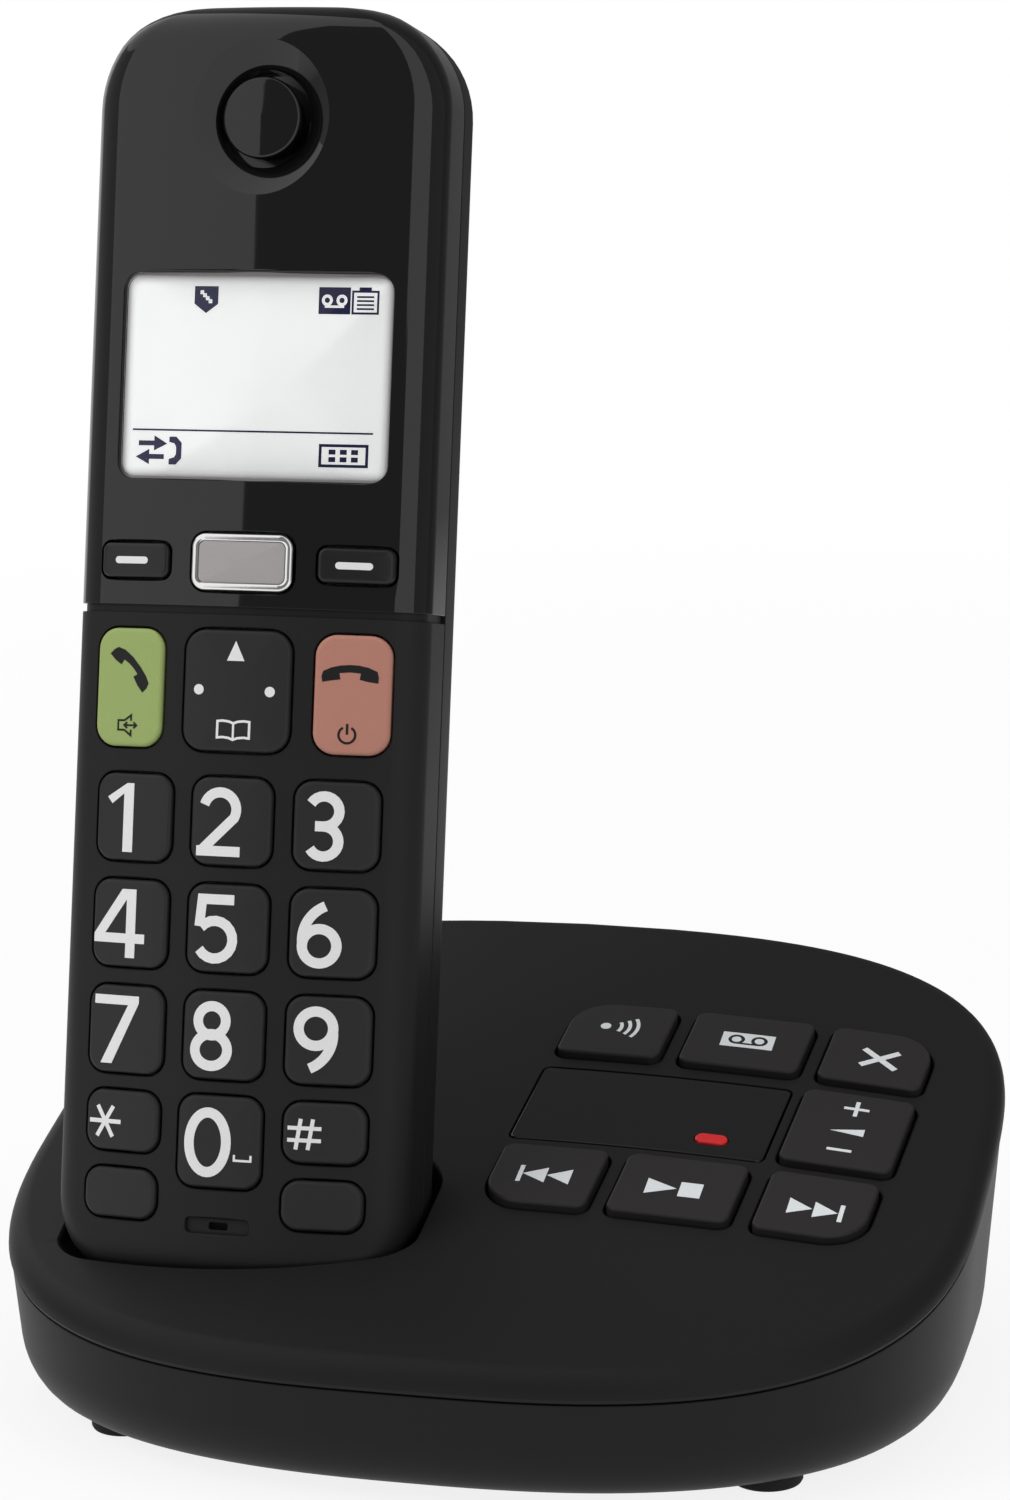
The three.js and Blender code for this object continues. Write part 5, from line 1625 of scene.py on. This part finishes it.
@dataclass
class Base(Assembly):
    """The base housing, in its own frame, with its control panel in a frame on the deck."""

    handset: Handset
    width: float = 142.0
    depth: float = 113.0
    top_height: float = 37.4
    slope_deg: float = 16.6
    dome_radius: float = 500.0
    front_power: float = 2.5
    back_power: float = 4.0
    rim: float = 3.0
    seam: float = 3.8
    seam_step: float = 0.3
    gap: float = 0.3
    wall: float = 2.2
    soft_edge: float = 0.2
    sharp_deg: float = 70.0
    draft_deg: float = 5.2
    round_inset: float = 5.0
    round_height: float = 8.0
    lip_inset: float = 0.6
    lip_reach: float = 2.0
    lip_wall: float = 0.9
    foot_height: float = 2.0
    foot_x: float = 46.5
    foot_rows: tuple[tuple[str, float], ...] = (("front", -34.0), ("back", 38.0))
    foot_profile: tuple[Flat, ...] = ((0.0, 0.25), (2.6, 0.25), (2.9, 0.0), (4.4, 0.0), (4.8, 0.15),
                                      (5.0, 0.5), (5.0, 2.8), (0.0, 2.8))
    screw: Screw = Screw(1.4, 2.8, 1.6, 13.0)
    screw_level: float = 6.0
    screws: tuple[tuple[str, float, float], ...] = (("front", 6.0, -42.0), ("back", 2.0, 45.5))
    screw_well: tuple[Flat, ...] = ((0.0, 0.0), (3.6, 0.0), (3.6, 1.95), (3.1, 2.5), (3.1, 5.0), (0.0, 5.0))
    grille: Rounded = Rounded(1.8, 22.0, 0.89)
    grille_x: tuple[float, ...] = (-42.0, -37.0, -32.0, -27.0, -22.0)
    grille_y: float = 22.0
    grille_top: float = 5.0
    sockets: tuple[Socket, ...] = (
        Socket("line_socket", -18.0, 13.0, 9.8, (-1.905, -0.635, 0.635, 1.905), 0.22, 1.6),
        Socket("power_socket", 22.0, 11.0, 7.8, (-1.6, 1.6), 0.5),
    )
    socket_y: Flat = (37.0, 52.0)
    socket_z: Flat = (12.0, 24.0)
    socket_edge: float = 0.25
    opening_y: Flat = (36.0, 60.0)
    mouth_end: float = 40.5
    mouth_z: Flat = (14.6, 21.4)
    latch_z: Flat = (13.2, 15.0)
    pin_y: Flat = (40.0, 48.5)
    pin_z: Flat = (19.6, 20.3)
    pin_edge: float = 0.12
    steps: int = 40
    turn_steps: int = 8
    cradle_side: float = 1.2
    cradle_front: float = 0.5
    cradle_back: float = 1.0
    cradle_wall: float = 1.8
    cradle_corner: float = 10.0
    cradle_edge: float = 5.0
    cup_drop: float = 0.8
    well_rim: float = 0.45
    contact_half: Flat = (1.5, 1.3)
    sleeve_wall: float = 1.4
    sleeve_length: float = 6.4
    sleeve_drop: float = 1.2
    panel_x: float = 29.0
    panel_y: float = 10.5
    key_gap: float = 0.45
    key_rise: float = 1.15
    key_edge: float = 0.45
    key_seat: float = 2.55
    key_slant: float = 0.05
    hole_rim: float = 0.25
    cut_floor: float = -6.0
    seat: float = 3.0
    strip_edge: float = 0.25
    strip_rim: float = 0.12
    lamp_rise: float = 0.3
    lamp_edge: float = 0.35
    lamp_gap: float = 0.12
    lamp_rim: float = 0.1
    mark_step: float = 2.0
    small: float = 1.6
    large: float = 6.0

    def __post_init__(self) -> None:
        """Works out the panel's frame."""
        x, y = self.panel_x, self.panel_y
        self.panel = (Matrix.Translation((x, y, self.deck(x, y)))
                      @ Matrix.Rotation(math.radians(self.slope_deg), 4, "X")
                      @ Matrix.Rotation(math.atan(x / self.dome_radius), 4, "Y"))

    def deck(self, x: float, y: float) -> float:
        """Height of the crowned sloping deck."""
        return self.top_height + math.tan(math.radians(self.slope_deg)) * y - x * x / (2 * self.dome_radius)

    def panel_top(self, x: float, y: float) -> float:
        """Height of the crowned deck in the panel's frame."""
        return -x * x / (2 * self.dome_radius)

    def ring(self, inset: float, height: Height, share: float = 1.0) -> list[Vector]:
        """One ring round the base, rounder at the front than at the back.

        Args:
            inset: How far it lies inside the outline.
            height: The surface it lies on.
            share: How far it is drawn in towards the middle.

        Returns:
            One place for each point.
        """
        places = []
        for index in range(4 * self.steps):
            angle = index / self.steps * math.pi / 2
            cosine, sine = math.cos(angle), math.sin(angle)
            power = 2 / (self.back_power if sine > 0 else self.front_power)
            x = share * (self.width / 2 - inset) * math.copysign(abs(cosine) ** power, cosine)
            y = share * (self.depth / 2 - inset) * math.copysign(abs(sine) ** power, sine)
            places.append(Vector((x, y, height(x, y))))
        return places

    def under(self, depth: float) -> Height:
        """A surface at a depth under the deck."""
        return lambda x, y: self.deck(x, y) - depth

    def dome(self, loft: Loft) -> Loft:
        """Closes a loft over the rounded rim and the crowned deck."""
        for angle in quarter(self.turn_steps):
            inset, fall = self.rim * (1 - math.cos(angle)), self.rim * (1 - math.sin(angle))
            loft.ring(self.ring(inset, self.under(fall)))
        for share in (0.9, 0.8, 0.7, 0.6, 0.5, 0.4, 0.3, 0.2, 0.1):
            loft.ring(self.ring(self.rim, self.deck, share))
        return loft.pole(Vector((0.0, 0.0, self.deck(0.0, 0.0))))

    def on_deck(self, x: float, depth: float) -> float:
        """How far up the handset the deck is met.

        Args:
            x: The place across the handset.
            depth: The depth behind its face.

        Returns:
            The height in the face frame.
        """
        hand = self.handset
        lean, slope = math.radians(hand.lean_deg), math.tan(math.radians(self.slope_deg))
        up, back = math.cos(lean), math.sin(lean)
        level = self.deck(x + hand.origin[0], hand.origin[1] + depth * up)
        return (level - hand.origin[2] + depth * back) / (up - slope * back)

    def cradle_rings(self, growth: float) -> list[list[Vector]]:
        """The rings of the cradle's hollow, grown outwards, from its rounded end to well above the deck."""
        hand = self.handset
        hull = Hull(hand.width / 2 + self.cradle_side + growth, -self.cradle_front - growth,
                    hand.thickness + self.cradle_back + growth, hand.front_edge + growth,
                    hand.back_edge + growth, hand.face_radius, hand.back_radius)
        low = hand.bottom - self.gap - growth
        return hull.end(low, self.cradle_corner + growth, self.cradle_edge + growth, 1) + [hull.ring(at(0.0))]

    def cradle_mouth(self, growth: float, lift: float) -> list[Vector]:
        """The ring where the cradle's hollow reaches a height over the deck.

        Args:
            growth: How far the hollow is grown outwards.
            lift: The height over the deck.

        Returns:
            One place for each point.
        """
        mouth = []
        for places in zip(*self.cradle_rings(growth)):
            gaps = [place.y - self.on_deck(place.x, -place.z) - lift for place in places]
            above = next(index for index, gap in enumerate(gaps) if gap >= 0)
            share = gaps[above - 1] / (gaps[above - 1] - gaps[above])
            mouth.append(places[above - 1].lerp(places[above], share))
        return mouth

    def cradle_solid(self, growth: float, lift: float, flare: Sequence[Flat] = ()) -> Piece:
        """A solid of the cradle's hollow.

        Args:
            growth: How far it is grown outwards.
            lift: How far over the deck its straight side ends.
            flare: How its mouth widens, as growth and lift, before it goes on above the deck.

        Returns:
            The solid, in the base's frame.
        """
        mouth = self.cradle_mouth(growth, lift)
        rings = self.cradle_rings(growth)
        held = [[place if place.y < edge.y else edge for place, edge in zip(ring, mouth)] for ring in rings]
        loft = Loft(held[0]).rings(held[1:])
        if flare:
            loft.rings(self.cradle_mouth(growth + more, rise) for more, rise in flare)
            loft.ring(self.cradle_rings(growth + flare[-1][0])[-1]).cap()
        else:
            depth = self.handset.thickness / 2
            loft.pole(Vector((0.0, self.on_deck(0.0, depth) + lift, -depth)))
        bmesh.ops.remove_doubles(loft.mesh, verts=loft.mesh.verts, dist=MERGE / 2)
        return solid("cradle", loft.mesh, self.handset.place)

    def build(self) -> None:
        """Builds every visible piece of the base."""
        self.build_cover()
        self.build_tub()
        self.build_lip()
        self.build_screws()
        self.build_panel()
        self.build_marks()
        self.build_sockets()
        self.build_feet()

    def keys(self) -> list[Pad]:
        """The keys of the control panel, by their outlines in the panel's frame."""
        small, large = self.small, self.large
        rows = [
            ("paging_key", -16.95, 14.85, 15.5, 13.6, (small, large, small, small)),
            ("answer_key", 2.75, 14.8, 17.9, 13.6, even(small)),
            ("erase_key", 22.3, 14.85, 15.3, 13.8, (large, small, small, small)),
            ("skip_back_key", -18.95, -23.85, 15.4, 14.3, (small, small, large, small)),
            ("play_stop_key", 0.35, -23.7, 17.5, 14.2, even(small)),
            ("skip_forward_key", 20.15, -23.75, 15.4, 14.2, (small, small, small, large)),
            ("volume_key", 21.25, -4.45, 16.2, 18.4, even(small)),
        ]
        return [Pad(name, Outline(x, y, width, tall, corners, slant=self.key_slant), self.key_rise,
                    self.key_edge, self.key_seat) for name, x, y, width, tall, corners in rows]

    def display(self) -> Pad:
        """The flush black strip of the control panel."""
        outline = Outline(-7.65, -4.45, 37.2, 18.7, even(1.0), slant=self.key_slant, side_steps=12)
        return Pad("display", outline, 0.0, self.strip_edge, self.seat)

    def lamp(self) -> Pad:
        """The message light."""
        outline = Outline(2.35, -9.85, 4.8, 2.4, even(1.19))
        return Pad("lamp", outline, self.lamp_rise, self.lamp_edge, self.seat)

    def hole(self, outline: Outline, gap: float, rim: float) -> Piece:
        """The tool that cuts a hole for a piece of the panel."""
        return hole_tool(outline, gap, rim, self.cut_floor, self.panel_top, self.panel)

    def contact_blocks(self, grow: float, low: float, high: float) -> list[Piece]:
        """Blocks about the two sprung contacts.

        Args:
            grow: How far they are grown sideways.
            low: Their lower limit in the handset's frame.
            high: Their upper limit there.

        Returns:
            The blocks.
        """
        hand, (wide, deep) = self.handset, self.contact_half
        return [block((x - wide - grow, x + wide + grow), (low, high),
                      (-hand.pad_depth - deep - grow, -hand.pad_depth + deep + grow), hand.place)
                for x in (-hand.pad_x, hand.pad_x)]

    def build_cover(self) -> None:
        """Builds the top cover: a domed skin with the cradle's cup and the key holes."""
        below = self.seam - self.gap / 2
        mesh = self.dome(Loft(self.ring(self.seam_step, self.under(below)), capped=False)).outward()
        bmesh.ops.solidify(mesh, geom=list(mesh.faces), thickness=self.wall)
        cover = softened(solid("cover", mesh), self.soft_edge, self.sharp_deg)
        work(cover, [self.cradle_solid(self.cradle_wall, -self.cup_drop)], Cut.JOIN)
        high = self.handset.bottom
        low = high - self.gap - self.cradle_wall - self.sleeve_length
        work(cover, self.contact_blocks(self.sleeve_wall, low, high - self.sleeve_drop), Cut.JOIN)
        work(cover, self.contact_blocks(self.gap, low - TOOL_REACH, high))
        flare = [(out * self.well_rim, lift * self.well_rim) for out, lift in RIM]
        tools = [self.cradle_solid(0.0, flare[0][1], flare[1:])]
        tools += [self.hole(key.outline, self.key_gap, self.hole_rim) for key in self.keys()]
        tools.append(self.hole(self.display().outline, self.gap, self.strip_rim))
        work(cover, tools)
        self.keep(cover, "base_top_skin", "base", Palette.base_plastic, ["base_top_cover"])

    def build_tub(self) -> None:
        """Builds the lower shell with its openings."""
        draft = math.tan(math.radians(self.draft_deg))
        edge = self.under(self.seam + self.gap / 2)
        rings = []
        for angle in quarter(self.turn_steps):
            level = self.foot_height + self.round_height * (1 - math.cos(angle))
            inset = self.seam_step + self.round_inset * (1 - math.sin(angle))
            ring = []
            for point in self.ring(inset, at(level)):
                taper = 1 - draft * (edge(point.x, point.y) - level) / (self.width / 2)
                ring.append(Vector((point.x * taper, point.y * taper, level)))
            rings.append(ring)
        mesh = Loft(rings[0]).rings(rings[1:]).ring(self.ring(self.seam_step, edge)).outward()
        bmesh.ops.solidify(mesh, geom=list(mesh.faces), thickness=self.wall)
        tub = softened(solid("tub", mesh), self.soft_edge, self.sharp_deg)
        tools = [block(socket.across(socket.width / 2 + self.gap), self.opening_y,
                       (self.socket_z[0] - self.gap, self.socket_z[1] + self.gap)) for socket in self.sockets]
        tools += [prism(self.grille.placed(x, self.grille_y), 0.0, self.grille_top) for x in self.grille_x]
        tools += [turned("well", self.screw_well, x, y, 36) for _, x, y in self.screws]
        work(tub, tools)
        self.keep(tub, "base_tub_skin", "base", Palette.base_plastic, ["base_bottom_shell"])

    def build_lip(self) -> None:
        """Builds the lip inside the seam between the two shells."""
        inset = self.seam_step + self.lip_inset
        lip = Loft(self.ring(inset, self.under(self.seam + self.lip_reach)), capped=False)
        mesh = lip.ring(self.ring(inset, self.under(self.seam - self.lip_reach))).outward()
        bmesh.ops.solidify(mesh, geom=list(mesh.faces), thickness=self.lip_wall)
        self.keep(solid("lip", mesh), "base_seam_lip", "base", Palette.base_plastic)

    def build_screws(self) -> None:
        """Builds the two screws in the floor."""
        for word, x, y in self.screws:
            self.keep(self.screw.made(x, y, self.screw_level), f"base_screw_{word}_cross", "base",
                      Palette.steel, [f"base_screw_{word}"])

    def build_panel(self) -> None:
        """Builds the keys, the black strip and the message light."""
        for key in self.keys():
            self.keep(key.closed(self.panel_top, self.panel), key.name + "_cap", key.name, Palette.base_key,
                      [key.name])
        strip = self.display().closed(self.panel_top, self.panel)
        lamp = self.lamp()
        work(strip, [self.hole(lamp.outline, self.lamp_gap, self.lamp_rim)])
        self.keep(strip, "base_display_strip", "base", Palette.gloss_black, ["base_display"])
        self.keep(lamp.closed(self.panel_top, self.panel), "message_light_cap", "base", Palette.red_lamp,
                  ["message_light"])

    def build_marks(self) -> None:
        """Lays the symbols on the control keys."""
        for name, mark in Glyphs.panel().items():
            self.printed(mark, name + "_symbol", name, Palette.pale_ink, "base_key",
                         lambda x, y: self.panel_top(x, y) + self.key_rise, self.panel, self.mark_step)

    def build_sockets(self) -> None:
        """Builds the cord sockets in the back, with their contacts."""
        through = (self.mouth_end, self.socket_y[1] + TOOL_REACH)
        for socket in self.sockets:
            body = block(socket.across(socket.width / 2), self.socket_y, self.socket_z)
            tool = block(socket.across(socket.mouth / 2), through, self.mouth_z)
            if socket.latch_half:
                work(tool, [block(socket.across(socket.latch_half), through, self.latch_z)], Cut.JOIN)
            work(body, [tool])
            self.keep(softened(body, self.socket_edge), socket.name + "_housing", "base", Palette.socket,
                      [socket.name])
            for index, pin in enumerate(socket.pins):
                middle, half = socket.x + pin, socket.pin_half
                wire = softened(block((middle - half, middle + half), self.pin_y, self.pin_z), self.pin_edge)
                self.keep(wire, f"{socket.name}_contact_{index + 1}", "base", Palette.contact)

    def build_feet(self) -> None:
        """Builds the four rubber feet."""
        for row, y in self.foot_rows:
            for word, x in (("left", -self.foot_x), ("right", self.foot_x)):
                name = f"foot_{row}_{word}"
                self.keep(turned(name, self.foot_profile, x, y, 48), name + "_pad", "base", Palette.rubber,
                          [name])


@dataclass
class Studio:
    """The camera, the lamps, the cards and the floor."""

    target: tuple[float, float, float] = (8.05, -22.7, 98.35)
    location: tuple[float, float, float] = (153.75, -559.02, 219.08)
    roll_deg: float = -1.0
    focal_px: float = 4153.67
    frame_height_px: float = 1500.0
    sensor_mm: float = 36.0
    floor_radius: float = 0.9
    floor_grey: float = 0.80
    floor_glow: float = 0.85
    floor_fade: Flat = (0.25, 0.8)
    surroundings: float = 0.45
    lamp_target: tuple[float, float, float] = (0.0, 0.0, 0.08)
    card_middle: tuple[float, float, float] = (-0.032, -0.023, 0.13)

    def build(self) -> None:
        """Sets up everything that isn't the object."""
        self.build_camera()
        self.build_floor()
        self.build_world()
        self.build_lamps()
        bpy.context.scene.view_settings.view_transform = "Standard"

    def build_camera(self) -> None:
        """Places the camera at the photograph's viewing angle."""
        data = bpy.data.cameras.new("camera")
        data.sensor_width = self.sensor_mm
        data.lens = self.focal_px * self.sensor_mm / self.frame_height_px
        data.clip_start, data.clip_end = 0.01, 20.0
        camera = bpy.data.objects.new("camera", data)
        bpy.context.scene.collection.objects.link(camera)
        look = (Vector(self.target) - Vector(self.location)).normalized()
        turn = look.to_track_quat("-Z", "Y").to_matrix().to_4x4()
        camera.matrix_world = (Matrix.Translation(Vector(self.location) * MM) @ turn
                               @ Matrix.Rotation(math.radians(self.roll_deg), 4, "Z"))
        bpy.context.scene.camera = camera

    def build_floor(self) -> None:
        """Lays the pale floor, which fades into the white of the surroundings."""
        mesh = bmesh.new()
        bmesh.ops.create_circle(mesh, cap_ends=True, segments=96, radius=self.floor_radius)
        floor = solid("floor", mesh)
        sheet = material_sheet("floor_white")
        grey = (self.floor_grey, self.floor_grey, self.floor_grey, 1.0)
        pale = sheet.node("ShaderNodeBsdfDiffuse", None, {"Color": grey})
        glow = sheet.node("ShaderNodeEmission", None, {"Color": WHITE, "Strength": 1.0})
        lit = sheet.blend(sheet.seen() * self.floor_glow, pale, glow)
        away = sheet.node("ShaderNodeVectorMath", {"operation": "LENGTH"}, {0: sheet.place()}, out="Value")
        clear = sheet.node("ShaderNodeBsdfTransparent", None, {"Color": WHITE})
        floor.data.materials.append(sheet.finish(sheet.blend(away.spread(*self.floor_fade), lit, clear)))

    def build_world(self) -> None:
        """Lights the surroundings: white to the eye and in gloss, softer as light on the object."""
        world = bpy.data.worlds.new("studio")
        bpy.context.scene.world = world
        sheet = NodeSheet(world)
        sockets = {"Color": WHITE, "Strength": sheet.seen().spread(0.0, 1.0, self.surroundings, 1.0)}
        sheet.finish(sheet.node("ShaderNodeBackground", None, sockets), "ShaderNodeOutputWorld")

    def card(self, name: str, azimuth: Flat, elevation: Flat, distance: float, level: float) -> None:
        """Stands a dark card round part of the object, which only gloss sees.

        Args:
            name: The card's name.
            azimuth: Its two sides in degrees, anticlockwise from the front as seen from above.
            elevation: Its lower and upper edge in degrees.
            distance: How far away it stands.
            level: How bright it is.
        """
        mesh = bmesh.new()
        bmesh.ops.create_grid(mesh, x_segments=16, y_segments=12, size=0.5)
        for vert in mesh.verts:
            turn = math.radians(azimuth[0] + (azimuth[1] - azimuth[0]) * (vert.co.x + 0.5))
            rise = math.radians(elevation[0] + (elevation[1] - elevation[0]) * (vert.co.y + 0.5))
            vert.co = Vector((math.sin(turn) * math.cos(rise), -math.cos(turn) * math.cos(rise),
                              math.sin(rise))) * distance
        card = solid(name, mesh, Matrix.Translation(self.card_middle))
        sheet = material_sheet(name)
        sockets = {"Color": (level, level, level, 1.0), "Strength": 1.0}
        card.data.materials.append(sheet.finish(sheet.node("ShaderNodeEmission", None, sockets)))
        card.visible_camera = False
        card.visible_diffuse = False
        card.visible_shadow = False
        card.visible_transmission = False

    def build_lamps(self) -> None:
        """Hangs the soft lamps and stands the dark cards."""
        for name, place, size, power in (
                ("lamp_left", (-0.9, -0.5, 0.9), 0.8, 8.0),
                ("lamp_right", (1.0, -0.3, 0.7), 0.7, 3.5),
                ("lamp_top", (0.0, 0.3, 1.3), 1.0, 6.0)):
            data = bpy.data.lights.new(name, "AREA")
            data.size = size
            data.energy = power
            lamp = bpy.data.objects.new(name, data)
            bpy.context.scene.collection.objects.link(lamp)
            lamp.location = place
            aim = Vector(self.lamp_target) - Vector(place)
            lamp.rotation_euler = aim.to_track_quat("-Z", "Y").to_euler()
            lamp.visible_camera = False
            lamp.visible_glossy = False
        self.card("front_card", (-19.5, 20.0), (-14.0, 72.0), 1.2, 0.2)
        self.card("right_card", (62.0, 100.0), (-30.0, 85.0), 1.4, 0.3)
        self.card("back_card", (100.0, 215.0), (-35.0, 85.0), 1.6, 0.2)
        self.card("left_card", (-118.0, -62.0), (-35.0, 25.0), 1.5, 0.35)


def dress_nodes(nodes: dict[str, Piece]) -> None:
    """Gives the CAD nodes that stay their finishes."""
    finishes: dict[str, Finish] = {
        "speaker": Palette.speaker, "receiver": Palette.speaker, "microphone": Palette.rubber,
        "base_board": Palette.board, "handset_board": Palette.board, "keypad_mat": Palette.silicone,
        "battery_cell_left": Palette.cell, "battery_cell_right": Palette.cell,
        "charge_pad_left": Palette.contact, "charge_pad_right": Palette.contact,
        "charge_contact_left": Palette.contact, "charge_contact_right": Palette.contact,
    }
    for name, finish in finishes.items():
        nodes[name].data.materials.clear()
        nodes[name].data.materials.append(Palette.of(finish))
        LOG.info("%s keeps its own mesh", name)


def main() -> None:
    """Builds the scene in order."""
    logging.basicConfig(level=logging.INFO, format="%(message)s")
    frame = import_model()
    Studio().build()
    dress_nodes(frame["nodes"])
    handset = Handset()
    handset.build()
    Base(handset).build()


if __name__ == "__main__":
    main()
